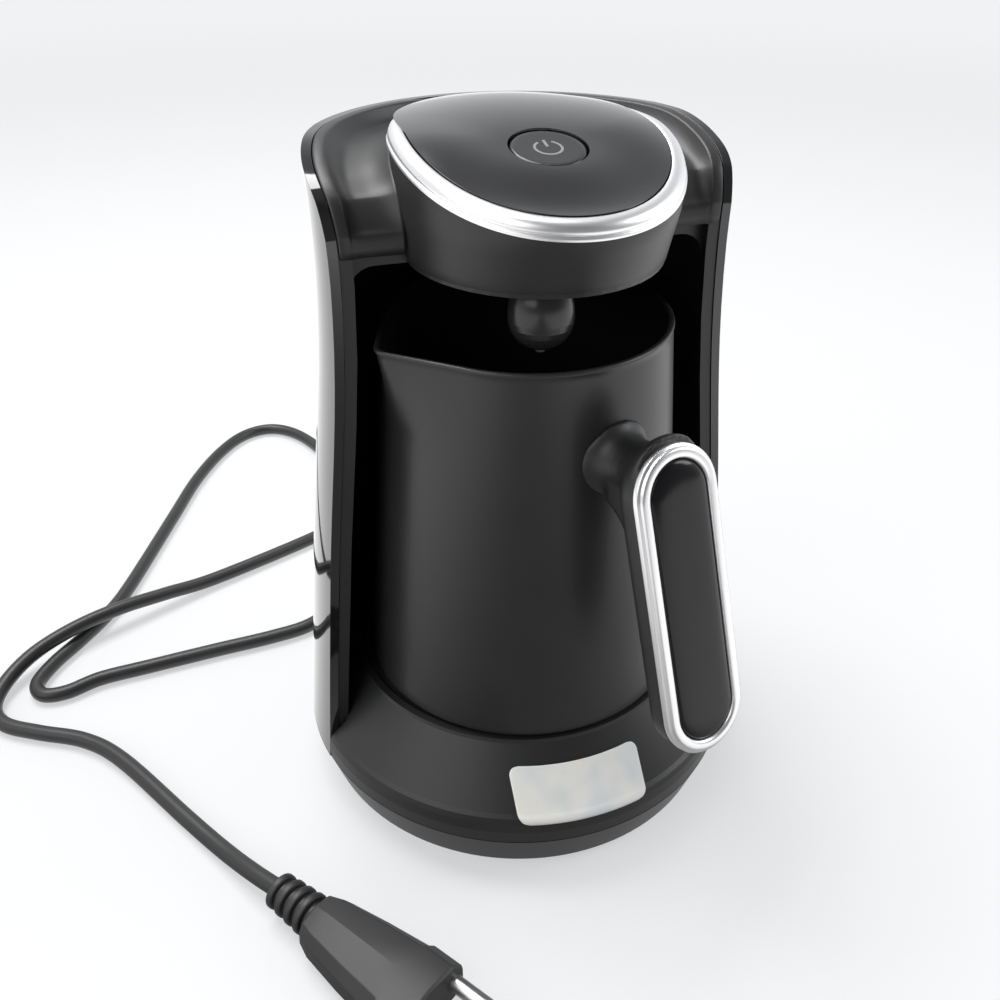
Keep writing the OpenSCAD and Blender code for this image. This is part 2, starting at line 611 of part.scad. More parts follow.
// where the screw's head sits, from the pot's axis: just behind the inlay
screw_y = grip_reach - (arm_z + 3.9 - grip_z) * tan(grip_lean)
  - trim_t / cos(grip_lean) - 2.4 - 0.6;
module handle_body() color(black) difference() {
  union() {
    grip_frame() stadium(grip_w - 0.8, grip_l - 0.8, trim_t + 0.05, grip_t - 1.8);
    grip_frame() stadium(grip_w - 3.4, grip_l - 3.4, grip_t - 1.9, grip_t);
    arm();
  }
  pot_frame() rotate_extrude() polygon([[0, 40], [pot_r(40) + 0.1, 40],
    [pot_r(rim_z) + 0.1, rim_z], [0, rim_z]]);
  handle_frame() translate([0, -arm_y0 - 7, arm_z]) rotate([-90, 0, 0]) cylinder(h = 12, r = 4.6);
  handle_frame() translate([0, -40, arm_z]) rotate([90, 0, 0]) cylinder(h = 50, r = 2.1);
  handle_frame() translate([0, -screw_y, arm_z]) rotate([90, 0, 0]) cylinder(h = 20, r = 3.9);
}
module handle_trim() color(silver) grip_frame() difference() {
  union() {
    stadium(grip_w, grip_l, 1, trim_t);
    stadium(grip_w - 1.4, grip_l - 1.4, 0, 1.1);
  }
  stadium(grip_w - 2 * trim_w, grip_l - 2 * trim_w, -1, 5);
}
module handle_inlay() color([0.03, 0.03, 0.035]) grip_frame() union() {
  stadium(grip_w - 2 * trim_w - 0.4, grip_l - 2 * trim_w - 0.4, 0, trim_t);
  stadium(grip_w - 2 * trim_w - 2.4, grip_l - 2 * trim_w - 2.4, -0.4, 0.1);
}
module handle_stud() color(steel) handle_frame() difference() {
  translate([0, -arm_y0 - 0.2, arm_z]) rotate([90, 0, 0]) cylinder(h = 6.4, r = 4.4);
  pot_frame_cut();
  translate([0, -arm_y0 - 8, arm_z]) rotate([-90, 0, 0]) cylinder(h = 7, r = 1.85);
}
module pot_frame_cut() rotate_extrude() polygon([[0, 40], [pot_r(40) + 0.05, 40],
  [pot_r(rim_z) + 0.05, rim_z], [0, rim_z]]);
module handle_screw() color(steel) handle_frame() translate([0, -screw_y - 0.05, arm_z])
  rotate([-90, 0, 0]) union() {
    translate([0, 0, -2.4]) cylinder(h = 2.4, r = 3.6);
    cylinder(h = screw_y - arm_y0 - 2, r = 1.8);
  }

// ================= cord, plug and label =================
module cord_gland() color([0.05, 0.05, 0.05]) axis() rotate([0, 0, exit_turn])
  translate([0, 0, exit_z]) rotate([-90, 0, 0]) union() {
    rotate_extrude() polygon([[0, flange_r - 3], [5.9, flange_r - 3], [5.9, flange_r],
      [neck_r2, flange_r], [neck_r2, exit_r],
      [6.6, exit_r], [6.6, exit_r + 3], [5.6, exit_r + 3.4], [cord_d / 2 + 1, exit_r + gland_l],
      [0, exit_r + gland_l]]);
    for (k = [0 : 3]) translate([0, 0, exit_r + 5.5 + 4.4 * k])
      cylinder(h = 2.2, r = 6 - 0.45 * k);
  }

module power_cord() color([0.05, 0.05, 0.05]) axis() polyhedron(cord_points, cord_faces, 4);

relief_l = 19;
plug_turn = atan2(plug_dir[1], plug_dir[0]);
module plug_frame() axis() translate(plug_a) rotate([0, 0, plug_turn]) rotate([0, 90, 0])
  rotate([0, 0, 90]) children();
// the plug's cross section, w to each side and h up and down, with a ridge on top
function plug_cut(w, h) = [[-0.75 * w, -h], [0.75 * w, -h], [w, -0.35 * h], [0.95 * w, 0.3 * h],
  [0.72 * w, 0.75 * h], [0, h], [-0.72 * w, 0.82 * h], [-w, 0.2 * h], [-w, -0.35 * h]];
module plug_body() color([0.06, 0.06, 0.06]) plug_frame() union() {
  translate([0, 0, 0.1]) cylinder(h = relief_l, r = cord_d / 2 + 1.3);
  for (k = [0 : 3]) translate([0, 0, 0.1 + 4.1 * k]) cylinder(h = 2.4, r = 5.6 + 0.3 * k);
  hull() {
    translate([0, 0, relief_l - 2.6]) linear_extrude(0.1) polygon(plug_cut(7.4, 6.4));
    translate([0, 0, relief_l + 2.6]) linear_extrude(0.1) polygon(plug_cut(9.4, 7.2));
    translate([0, 0, relief_l + plug_l - 12]) linear_extrude(0.1) polygon(plug_cut(13, 7.6));
  }
  translate([0, 0, relief_l + plug_l - 12]) linear_extrude(12)
    polygon([[-12, -7.6], [12, -7.6], [14.2, -5], [14.2, 5], [12, 7.8], [-12, 7.8],
      [-14.2, 5], [-14.2, -5]]);
}
module plug_pins() color(steel) plug_frame() for (s = [-1, 1])
  translate([s * pin_pitch / 2, 0, relief_l + plug_l + 0.02]) union() {
    cylinder(h = 18, r = 2.4);
    translate([0, 0, 18 - eps]) cylinder(h = 1.2, r1 = 2.4, r2 = 1.4);
  }

label_x = -1.35;
label_w = 41.6;
label_up = 10;                            // how far up the cone the label reaches
function label_line(g) = [[base_r - 0.4 + g, deck_edge_z - 2.6],
  [base_r - 1.1 + g, deck_edge_z - 0.9],
  [deck_edge_r + g * cone_nx, deck_edge_z + g * cone_nz],
  [deck_edge_r - label_up + g * cone_nx,
   deck_edge_z + label_up * cone_dz / cone_dx + g * cone_nz]];
module blank_label() color([0.9, 0.9, 0.88]) axis() intersection() {
  rotate([0, 0, -115]) rotate_extrude(angle = 50)
    polygon(concat(label_line(0.05), [for (k = [3 : -1 : 0]) label_line(0.35)[k]]));
  translate([label_x - label_w / 2, -base_r - 5, 0]) cube([label_w, base_r, 60]);
}

base_tray();
rubber_feet();
base_screws();
base_deck();
heating_plate();
plate_seal();
heating_element();
plate_clamps();
thermal_fuse();
power_board();
board_relay();
front_frame();
rear_shell();
head_cover();
probe_bulb();
probe_pin();
top_trim_ring();
top_plate();
power_button();
button_symbol();
control_board();
board_screws();
tact_switch();
buzzer();
pot_body();
handle_body();
handle_trim();
handle_inlay();
handle_stud();
handle_screw();
cord_gland();
power_cord();
plug_body();
plug_pins();
blank_label();
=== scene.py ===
import math
import bmesh
import bpy
from mathutils import Matrix, Vector


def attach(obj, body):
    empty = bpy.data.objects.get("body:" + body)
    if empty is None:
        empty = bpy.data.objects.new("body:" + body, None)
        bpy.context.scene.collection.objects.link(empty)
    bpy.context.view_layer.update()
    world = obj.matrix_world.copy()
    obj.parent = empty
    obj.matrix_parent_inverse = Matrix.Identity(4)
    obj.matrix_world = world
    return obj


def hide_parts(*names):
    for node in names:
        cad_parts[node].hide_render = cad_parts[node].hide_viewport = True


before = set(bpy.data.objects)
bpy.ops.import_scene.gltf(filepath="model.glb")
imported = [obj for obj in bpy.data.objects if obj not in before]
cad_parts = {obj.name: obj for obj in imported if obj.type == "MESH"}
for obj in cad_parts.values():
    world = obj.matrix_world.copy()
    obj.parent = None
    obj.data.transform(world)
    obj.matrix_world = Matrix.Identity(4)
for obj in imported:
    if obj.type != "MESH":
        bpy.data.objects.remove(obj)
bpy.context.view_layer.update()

# --- Camera and view ---------------------------------------------------------
# The photograph's camera: left of the front, above the coffee maker, looking down.
# Its place and turn were worked out from the round base, the pot and the trim ring.
camera_place = Vector((-0.08938, -0.25915, 0.27153))
camera_right = Vector((0.95302, -0.30288, 0.00398))
camera_up = Vector((0.16266, 0.52282, 0.83678))
camera = bpy.data.objects.new("camera", bpy.data.cameras.new("camera"))
bpy.context.scene.collection.objects.link(camera)
camera_back = camera_right.cross(camera_up).normalized()
camera.matrix_world = Matrix((
    (camera_right.x, camera_up.x, camera_back.x, camera_place.x),
    (camera_right.y, camera_up.y, camera_back.y, camera_place.y),
    (camera_right.z, camera_up.z, camera_back.z, camera_place.z),
    (0, 0, 0, 1)))
camera.data.sensor_width = 36
camera.data.lens = 36
camera.data.shift_x = 0.0015
camera.data.shift_y = 0.0030
camera.data.clip_start = 0.01
bpy.context.scene.camera = camera
bpy.context.scene.view_settings.view_transform = "Standard"

# --- Table, room light and lamps ---------------------------------------------
# White paper in a white light tent that is dimmer above and in front, with three soft
# lamps. The camera sees the paper fade into haze far off. To all other rays the paper
# glows as a painted light, bright beside and behind the coffee maker and dim in front;
# this glow lights it, and gloss and metal mirror it.
table_reach = 6.0
table_mesh = bmesh.new()
bmesh.ops.create_grid(table_mesh, x_segments=1, y_segments=1, size=table_reach)
table = bpy.data.objects.new("table", bpy.data.meshes.new("table"))
table_mesh.to_mesh(table.data)
table_mesh.free()
bpy.context.scene.collection.objects.link(table)


def easing_node(tree, low, high, start=0.0, finish=1.0):
    """A node that eases from start to finish as its value goes from low to high."""
    node = tree.nodes.new("ShaderNodeMapRange")
    node.interpolation_type = "SMOOTHSTEP"
    node.inputs["From Min"].default_value = low
    node.inputs["From Max"].default_value = high
    node.inputs["To Min"].default_value = start
    node.inputs["To Max"].default_value = finish
    return node


paper = bpy.data.materials.new("white_paper")
paper.use_nodes = True
paper_nodes, paper_links = paper.node_tree.nodes, paper.node_tree.links
paper_shader = paper_nodes["Principled BSDF"]
paper_shader.inputs["Roughness"].default_value = 0.75
paper_shader.inputs["Specular IOR Level"].default_value = 0.2
paper_place = paper_nodes.new("ShaderNodeTexCoord")
paper_grain = paper_nodes.new("ShaderNodeTexNoise")
paper_grain.inputs["Scale"].default_value = 1.3
paper_tone = paper_nodes.new("ShaderNodeValToRGB")
paper_tone.color_ramp.elements[0].color = (0.83, 0.83, 0.84, 1)
paper_tone.color_ramp.elements[1].color = (0.88, 0.88, 0.88, 1)
paper_links.new(paper_place.outputs["Object"], paper_grain.inputs["Vector"])
paper_links.new(paper_grain.outputs["Fac"], paper_tone.inputs["Fac"])
paper_links.new(paper_tone.outputs["Color"], paper_shader.inputs["Base Color"])

# What the camera sees: the paper itself, then more and more haze with distance.
haze_near, haze_far, least_haze = 0.2, 2.0, 0.58
haze = paper_nodes.new("ShaderNodeEmission")
haze.inputs["Color"].default_value = (0.873, 0.886, 0.9, 1)
distance = paper_nodes.new("ShaderNodeVectorMath")
distance.operation = "LENGTH"
haze_share = easing_node(paper.node_tree, haze_near, haze_far, start=least_haze)
hazed_paper = paper_nodes.new("ShaderNodeMixShader")
paper_links.new(paper_place.outputs["Object"], distance.inputs[0])
paper_links.new(distance.outputs["Value"], haze_share.inputs["Value"])
paper_links.new(haze_share.outputs["Result"], hazed_paper.inputs["Fac"])
paper_links.new(paper_shader.outputs["BSDF"], hazed_paper.inputs[1])
paper_links.new(haze.outputs["Emission"], hazed_paper.inputs[2])

# What all other rays see: the paper glows as a painted light, dim in front and bright beside and
# behind; gloss and metal mirror this glow, and it lights the coffee maker.
tent_turn = math.radians(17.6)
turned_place = paper_nodes.new("ShaderNodeMapping")
turned_place.inputs["Rotation"].default_value = (0, 0, tent_turn)
paper_axes = paper_nodes.new("ShaderNodeSeparateXYZ")
aside = paper_nodes.new("ShaderNodeMath")
aside.operation = "ABSOLUTE"
glow_sides_share = easing_node(paper.node_tree, 0.06, 0.30)
glow_back_share = easing_node(paper.node_tree, -0.12, 0.06)
glow_share = paper_nodes.new("ShaderNodeMath")
glow_share.operation = "MAXIMUM"
painted_glow_level = paper_nodes.new("ShaderNodeMapRange")
painted_glow_level.inputs["To Min"].default_value = 0.32
painted_glow_level.inputs["To Max"].default_value = 1.3
# Painted light: to these rays the paper is an emitter, though it is no lamp, with painted bright
# and dim parts.
painted_glow_paper = paper_nodes.new("ShaderNodeEmission")
paper_links.new(paper_place.outputs["Object"], turned_place.inputs["Vector"])
paper_links.new(turned_place.outputs["Vector"], paper_axes.inputs[0])
paper_links.new(paper_axes.outputs["X"], aside.inputs[0])
paper_links.new(aside.outputs[0], glow_sides_share.inputs["Value"])
paper_links.new(paper_axes.outputs["Y"], glow_back_share.inputs["Value"])
paper_links.new(glow_sides_share.outputs["Result"], glow_share.inputs[0])
paper_links.new(glow_back_share.outputs["Result"], glow_share.inputs[1])
paper_links.new(glow_share.outputs[0], painted_glow_level.inputs["Value"])
paper_links.new(painted_glow_level.outputs["Result"], painted_glow_paper.inputs["Strength"])

paper_rays = paper_nodes.new("ShaderNodeLightPath")
paper_surface = paper_nodes.new("ShaderNodeMixShader")
paper_links.new(paper_rays.outputs["Is Camera Ray"], paper_surface.inputs["Fac"])
paper_links.new(painted_glow_paper.outputs["Emission"], paper_surface.inputs[1])
paper_links.new(hazed_paper.outputs["Shader"], paper_surface.inputs[2])
paper_links.new(paper_surface.outputs["Shader"], paper_nodes["Material Output"].inputs["Surface"])
table.data.materials.append(paper)

# The tent: dimmer overhead and on its open front side, an even white to the camera.
room = bpy.data.worlds.new("light_tent")
bpy.context.scene.world = room
room.use_nodes = True
room_nodes, room_links = room.node_tree.nodes, room.node_tree.links
room_glow = room_nodes["Background"]
room_glow.inputs["Color"].default_value = (0.97, 0.985, 1.0, 1)
room_way = room_nodes.new("ShaderNodeTexCoord")
room_axes = room_nodes.new("ShaderNodeSeparateXYZ")
room_ceiling = easing_node(room.node_tree, 0.45, 0.85, start=0.86, finish=0.34)
room_front = easing_node(room.node_tree, -0.75, 0.1, start=0.25, finish=1.0)
room_light = room_nodes.new("ShaderNodeMath")
room_light.operation = "MULTIPLY"
room_rays = room_nodes.new("ShaderNodeLightPath")
room_level = room_nodes.new("ShaderNodeMix")
room_level.data_type = "FLOAT"
room_level.inputs["B"].default_value = 0.9
room_links.new(room_way.outputs["Generated"], room_axes.inputs[0])
room_links.new(room_axes.outputs["Z"], room_ceiling.inputs["Value"])
room_links.new(room_axes.outputs["Y"], room_front.inputs["Value"])
room_links.new(room_ceiling.outputs["Result"], room_light.inputs[0])
room_links.new(room_front.outputs["Result"], room_light.inputs[1])
room_links.new(room_rays.outputs["Is Camera Ray"], room_level.inputs["Factor"])
room_links.new(room_light.outputs[0], room_level.inputs["A"])
room_links.new(room_level.outputs["Result"], room_glow.inputs["Strength"])


def soft_lamp(name, place, aim, size, watts, tint=(1, 1, 1)):
    """A square-cornered soft box at a place, turned towards its aim."""
    lamp = bpy.data.objects.new(name, bpy.data.lights.new(name, "AREA"))
    lamp.data.shape = "RECTANGLE"
    lamp.data.size, lamp.data.size_y = size
    lamp.data.energy = watts
    lamp.data.color = tint
    lamp.location = place
    lamp.rotation_euler = (Vector(aim) - Vector(place)).to_track_quat("-Z", "Y").to_euler()
    bpy.context.scene.collection.objects.link(lamp)


soft_lamp("lamp_above", (-0.25, 0.45, 1.25), (0, 0, 0.1), (0.9, 0.6), 16.0)
soft_lamp("lamp_front_left", (-1.0, -0.55, 1.0), (0, 0, 0.12), (1.1, 1.1), 6.5, (1, 0.99, 0.97))
soft_lamp("lamp_right", (1.1, -0.25, 0.8), (0, 0, 0.12), (0.5, 0.7), 5.0, (0.97, 0.98, 1))

# --- Base tray and feet ------------------------------------------------------
# The tray is a shallow moulding of matt black plastic that narrows towards the
# table. It stands on four dark rubber discs and is held by four screws.
def new_material(name, base, rough=0.5, metal=0.0, specular=0.5, coat=0.0):
    """A material, and its shader with plain values for colour, gloss and coat."""
    material = bpy.data.materials.new(name)
    material.use_nodes = True
    shader = material.node_tree.nodes["Principled BSDF"]
    shader.inputs["Base Color"].default_value = (*base, 1)
    shader.inputs["Roughness"].default_value = rough
    shader.inputs["Metallic"].default_value = metal
    shader.inputs["Specular IOR Level"].default_value = specular
    shader.inputs["Coat Weight"].default_value = coat
    return material, shader


def moulded_finish_group():
    """Fine spark-eroded texture of a moulding: grain height, mottled tone and roughness."""
    group = bpy.data.node_groups.new("moulded_finish", "ShaderNodeTree")
    face = group.interface
    for label, kind, start in (("Base", "NodeSocketColor", (0.02, 0.02, 0.02, 1)),
                               ("Bloom", "NodeSocketColor", (0.03, 0.03, 0.03, 1)),
                               ("Roughness", "NodeSocketFloat", 0.5),
                               ("Spread", "NodeSocketFloat", 0.05),
                               ("Grain per Metre", "NodeSocketFloat", 2500.0)):
        socket = face.new_socket(name=label, in_out="INPUT", socket_type=kind)
        socket.default_value = start
    face.new_socket(name="Color", in_out="OUTPUT", socket_type="NodeSocketColor")
    face.new_socket(name="Roughness", in_out="OUTPUT", socket_type="NodeSocketFloat")
    face.new_socket(name="Height", in_out="OUTPUT", socket_type="NodeSocketFloat")
    nodes, links = group.nodes, group.links
    given = nodes.new("NodeGroupInput")
    made = nodes.new("NodeGroupOutput")
    place = nodes.new("ShaderNodeTexCoord")
    grain = nodes.new("ShaderNodeTexNoise")
    grain.inputs["Detail"].default_value = 3.0
    links.new(place.outputs["Object"], grain.inputs["Vector"])
    links.new(given.outputs["Grain per Metre"], grain.inputs["Scale"])
    cloud = nodes.new("ShaderNodeTexNoise")
    cloud.inputs["Scale"].default_value = 38.0
    cloud.inputs["Detail"].default_value = 4.0
    links.new(place.outputs["Object"], cloud.inputs["Vector"])
    dust = nodes.new("ShaderNodeTexVoronoi")
    dust.inputs["Scale"].default_value = 260.0
    links.new(place.outputs["Object"], dust.inputs["Vector"])
    speck = nodes.new("ShaderNodeMapRange")
    speck.inputs["From Min"].default_value = 0.05
    speck.inputs["From Max"].default_value = 0.0
    speck.inputs["To Max"].default_value = 0.35
    links.new(dust.outputs["Distance"], speck.inputs["Value"])
    share = nodes.new("ShaderNodeMath")
    share.operation = "MAXIMUM"
    links.new(cloud.outputs["Fac"], share.inputs[0])
    links.new(speck.outputs["Result"], share.inputs[1])
    tone = nodes.new("ShaderNodeMix")
    tone.data_type = "RGBA"
    links.new(share.outputs[0], tone.inputs["Factor"])
    links.new(given.outputs["Base"], tone.inputs["A"])
    links.new(given.outputs["Bloom"], tone.inputs["B"])
    links.new(tone.outputs["Result"], made.inputs["Color"])
    swing = nodes.new("ShaderNodeMath")
    swing.operation = "MULTIPLY_ADD"
    links.new(cloud.outputs["Fac"], swing.inputs[0])
    links.new(given.outputs["Spread"], swing.inputs[1])
    links.new(given.outputs["Roughness"], swing.inputs[2])
    links.new(swing.outputs[0], made.inputs["Roughness"])
    links.new(grain.outputs["Fac"], made.inputs["Height"])
    return group


moulded_finish = moulded_finish_group()


def moulded(name, base, bloom, rough, spread=0.06, grain=2500.0, bump=0.00004, **more):
    """A moulded plastic or rubber: the shared finish with its own tone, gloss and grain."""
    material, shader = new_material(name, base, rough, **more)
    nodes, links = material.node_tree.nodes, material.node_tree.links
    finish = nodes.new("ShaderNodeGroup")
    finish.node_tree = moulded_finish
    finish.inputs["Base"].default_value = (*base, 1)
    finish.inputs["Bloom"].default_value = (*bloom, 1)
    finish.inputs["Roughness"].default_value = rough
    finish.inputs["Spread"].default_value = spread
    finish.inputs["Grain per Metre"].default_value = grain
    links.new(finish.outputs["Color"], shader.inputs["Base Color"])
    links.new(finish.outputs["Roughness"], shader.inputs["Roughness"])
    relief = nodes.new("ShaderNodeBump")
    relief.inputs["Distance"].default_value = bump
    relief.inputs["Strength"].default_value = 0.5
    links.new(finish.outputs["Height"], relief.inputs["Height"])
    links.new(relief.outputs["Normal"], shader.inputs["Normal"])
    return material


def dress(node_name, material):
    """Puts a finish on a carried-over CAD node, whose mesh stays as it is."""
    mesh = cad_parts[node_name].data
    mesh.materials.clear()
    mesh.materials.append(material)


matt_black = moulded("matt_black", (0.014, 0.014, 0.015), (0.021, 0.021, 0.022), 0.38,
                     spread=0.08, grain=3200.0, bump=0.00003)
dress("base_tray", matt_black)
foot_rubber = moulded("foot_rubber", (0.012, 0.012, 0.012), (0.02, 0.02, 0.019), 0.75,
                      grain=1800.0)
dress("rubber_feet", foot_rubber)

# --- Screws, heater and boards inside the base -------------------------------
# Zinc-plated screws hold tray and deck together; the heater's bent tube, its
# clamps and the fuse lie under the plate, and a green board carries the relay.
def metal(name, base, rough, brushed=600.0, bump=0.00001):
    """Plated or turned metal: fine noise in its tone and gloss, and a faint relief."""
    worn = tuple(min(1.0, 1.12 * part) for part in base)
    return moulded(name, base, worn, rough, spread=0.12, grain=brushed, bump=bump, metal=1.0)


bright_steel = metal("bright_steel", (0.56, 0.56, 0.57), 0.26)
for node_name in ("base_screws", "heating_element", "plate_clamps", "board_screws",
                  "handle_stud", "handle_screw", "probe_pin", "plug_pins"):
    dress(node_name, bright_steel)
dress("heating_plate", metal("plate_metal", (0.11, 0.11, 0.115), 0.42, brushed=900.0))
dress("plate_seal", foot_rubber)
dress("thermal_fuse", moulded("fuse_white", (0.62, 0.62, 0.58), (0.7, 0.7, 0.68), 0.35))
board_green = moulded("board_green", (0.012, 0.09, 0.03), (0.02, 0.13, 0.05), 0.3)
dress("power_board", board_green)
dress("control_board", board_green)
dress("board_relay", moulded("relay_blue", (0.012, 0.04, 0.2), (0.02, 0.05, 0.24), 0.35))
part_black = moulded("part_black", (0.012, 0.012, 0.012), (0.02, 0.02, 0.02), 0.4)
dress("tact_switch", part_black)
dress("buzzer", part_black)

# --- Base deck ---------------------------------------------------------------
# The deck is the same matt black moulding: a short upright band over the seam,
# a rounded edge and a shallow cone up to the dark groove round the pot.
dress("base_deck", matt_black)

# --- Rear shell --------------------------------------------------------------
# A piano-black moulding wraps the sides and back. It is polished, so the white
# tent shows in it where it is seen at a shallow angle.
gloss_black = moulded("gloss_black", (0.006, 0.006, 0.007), (0.009, 0.009, 0.01), 0.05,
                      spread=0.03, grain=500.0, bump=0.000004, specular=0.6, coat=0.35)
axis_y = -0.0021
shell_profile = ((17, 73.4), (57, 69.6), (97, 65.5), (137, 60.7), (157, 58.8), (177, 57.8),
                 (192, 57.9), (208.6, 58.6))
shell_top = 208.6
shell_wall = 2.6
skin_inset = 0.07
side_line = ((17, -17.3), (60, -16.15), (110, -14.82), (150, -13.75), (184.6, -12.8),
             (191.6, -12.05), (197.4, -9.4), (200.2, -6.4), (202.4, -2.0), (204.4, 4.0),
             (206.4, 11.0), (208.0, 19.0), (208.55, 29.0))
line_end = len(side_line) - 1
line_heights = [(k, z) for k, (z, y) in enumerate(side_line)]
line_depths = [(k, y) for k, (z, y) in enumerate(side_line)]
shell_rows = 48
arc_points = 96


def at(x, y, z):
    """A point in millimetres from the base's axis, in the model's metres."""
    return Vector((x / 1000, y / 1000 + axis_y, z / 1000))


def curve(t, start, leaving, finish, arriving):
    """One smooth run from start to finish that leaves and arrives at given slopes."""
    return ((2 * t ** 3 - 3 * t * t + 1) * start + (t ** 3 - 2 * t * t + t) * leaving
            + (3 * t * t - 2 * t ** 3) * finish + (t ** 3 - t * t) * arriving)


def eased(pairs, value):
    """Reads a table of (value, result) pairs along one smooth curve."""
    i = max(0, min(len(pairs) - 2, sum(1 for p in pairs if p[0] <= value) - 1))
    (x0, y0), (x1, y1) = pairs[i], pairs[i + 1]
    before = pairs[i - 1] if i else (2 * x0 - x1, 2 * y0 - y1)
    after = pairs[i + 2] if i + 2 < len(pairs) else (2 * x1 - x0, 2 * y1 - y0)
    leaving = (y1 - before[1]) / (x1 - before[0]) * (x1 - x0)
    arriving = (after[1] - y0) / (after[0] - x0) * (x1 - x0)
    return curve((value - x0) / (x1 - x0), y0, leaving, y1, arriving)


def drawn_along(built, rings, around=True):
    """Extrudes an outline from ring to ring and sets each new ring in its place."""
    count = len(rings[0])
    ring = [built.verts.new(place) for place in rings[0]]
    steps = count if around else count - 1
    edges = [built.edges.new((ring[i], ring[(i + 1) % count])) for i in range(steps)]
    first = ring
    for places in rings[1:]:
        made = bmesh.ops.extrude_edge_only(built, edges=edges)["geom"]
        fresh = {item for item in made if isinstance(item, bmesh.types.BMVert)}
        following = []
        for corner in ring:
            for edge in corner.link_edges:
                if edge.other_vert(corner) in fresh:
                    following.append(edge.other_vert(corner))
                    break
        for corner, place in zip(following, places):
            corner.co = place
        ring = following
        edges = [built.edges.get((ring[i], ring[(i + 1) % count])) for i in range(steps)]
    return first, ring


def new_piece(name, built, material, node=None, body="machine", smooth=35):
    """Turns a finished bmesh into an object that rides on a body and stands for a node."""
    bmesh.ops.remove_doubles(built, verts=built.verts, dist=1e-6)
    bmesh.ops.recalc_face_normals(built, faces=built.faces)
    for face in built.faces:
        face.smooth = True
    for edge in built.edges:
        if len(edge.link_faces) == 2:
            edge.smooth = edge.calc_face_angle(0) < math.radians(smooth)
    mesh = bpy.data.meshes.new(name)
    built.to_mesh(mesh)
    built.free()
    piece = bpy.data.objects.new(name, mesh)
    bpy.context.scene.collection.objects.link(piece)
    mesh.materials.append(material)
    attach(piece, body)
    if node:
        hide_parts(node)
    return piece


shell_rings = []
for k in range(shell_rows + 1):
    share = line_end * k / shell_rows
    z, edge_y = eased(line_heights, share), eased(line_depths, share)
    row = []
    for wall, order in ((0.0, range(arc_points + 1)), (shell_wall, range(arc_points, -1, -1))):
        radius = eased(shell_profile, min(z, shell_top)) - wall - skin_inset
        start = math.asin(max(-1.0, min(1.0, edge_y / radius)))
        for j in order:
            turn = start + (math.pi - 2 * start) * j / arc_points
            row.append(at(radius * math.cos(turn), radius * math.sin(turn), z))
    shell_rings.append(row)
shell = bmesh.new()
first, last = drawn_along(shell, shell_rings)
for ring in (first, last):
    for j in range(arc_points):
        shell.faces.new((ring[j], ring[j + 1], ring[-j - 2], ring[-j - 1]))
shell_piece = new_piece("rear_shell_moulding", shell, gloss_black, node="rear_shell",
                        smooth=60)
shell_edge = shell_piece.modifiers.new("rounded_edge", "BEVEL")
shell_edge.width = 0.0005
shell_edge.segments = 2
shell_edge.limit_method = "ANGLE"
shell_edge.angle_limit = math.radians(50)

# --- Front frame, its rim band and dished shoulder ---------------------------
# The matt frame has a flat rim band inside the shell. From the band a hollow
# shoulder falls and turns up into the wall of the head on both sides of it.
dress("front_frame", matt_black)
head_half = 37.3
head_front = 53.0
head_rear = 45.0
head_middle = -8.0
ring_low = 196.8
ring_slope = 0.07
levelling = 0.10
level_from, level_softness = 2.0, 60.0
step_rise = 7.6
step_front, step_back = -61.0, -1.5


def egg(half, front, rear, turn):
    """A point of an egg shape round the head's middle, in plan. Turn 0 is in front."""
    fore = -math.cos(turn)
    reach = front + head_middle if fore < 0 else rear - head_middle
    return half * math.sin(turn), head_middle + reach * fore


def head_outline(inset, turn):
    """The head's plan, inset millimetres inside the trim ring."""
    return egg(head_half - inset, head_front - inset, head_rear - inset, turn)


def soft_step(value, low, high):
    """0 up to low, 1 from high on, and one soft curve between them."""
    share = min(1.0, max(0.0, (value - low) / (high - low)))
    return share * share * (3 - 2 * share)


def ring_height(y):
    """Height of the trim ring's lower edge: low in front, a soft step up, flat behind."""
    past = y - level_from
    bend = 0.5 * (past + math.sqrt(past * past + level_softness))
    return (ring_low + ring_slope * (y + head_front) - levelling * bend
            + step_rise * soft_step(y, step_front, step_back))


frame_inset = 3.0
band_inset = 6.2
band_proud = 0.22
band_section = ((frame_inset, 0.6), (frame_inset + 0.2, 0.15), (frame_inset + 0.6, 0.0),
                (band_inset - 0.5, 0.0), (band_inset - 0.12, 0.12))
bend_start = 4
head_gap, head_side_gap = 0.8, 1.1
lean_from, lean_full = 4.6, 9.0
dish_depth, dish_full = 4.15, 6.4
least_share, added_share = 0.1, 0.88
deepest_part, climb_back = 0.3, 0.92
fall_bend, climb_bend = 2.2, 3.2
dish_points = 18
line_rings, straight_rings = 64, 11


def inside_shell(inset, y, z):
    """How far out a point lies that is inset millimetres inside the shell's face."""
    radius = eased(shell_profile, z) - inset
    return math.sqrt(max(0.0, radius * radius - y * y))


def hollow(part, depth):
    """The shoulder's dip, part of the way from the rim band in to the head."""
    if part < deepest_part:
        return depth * (1 - (1 - part / deepest_part) ** fall_bend)
    past = (part - deepest_part) / (1 - deepest_part)
    return depth * (1 - climb_back * past ** climb_bend)


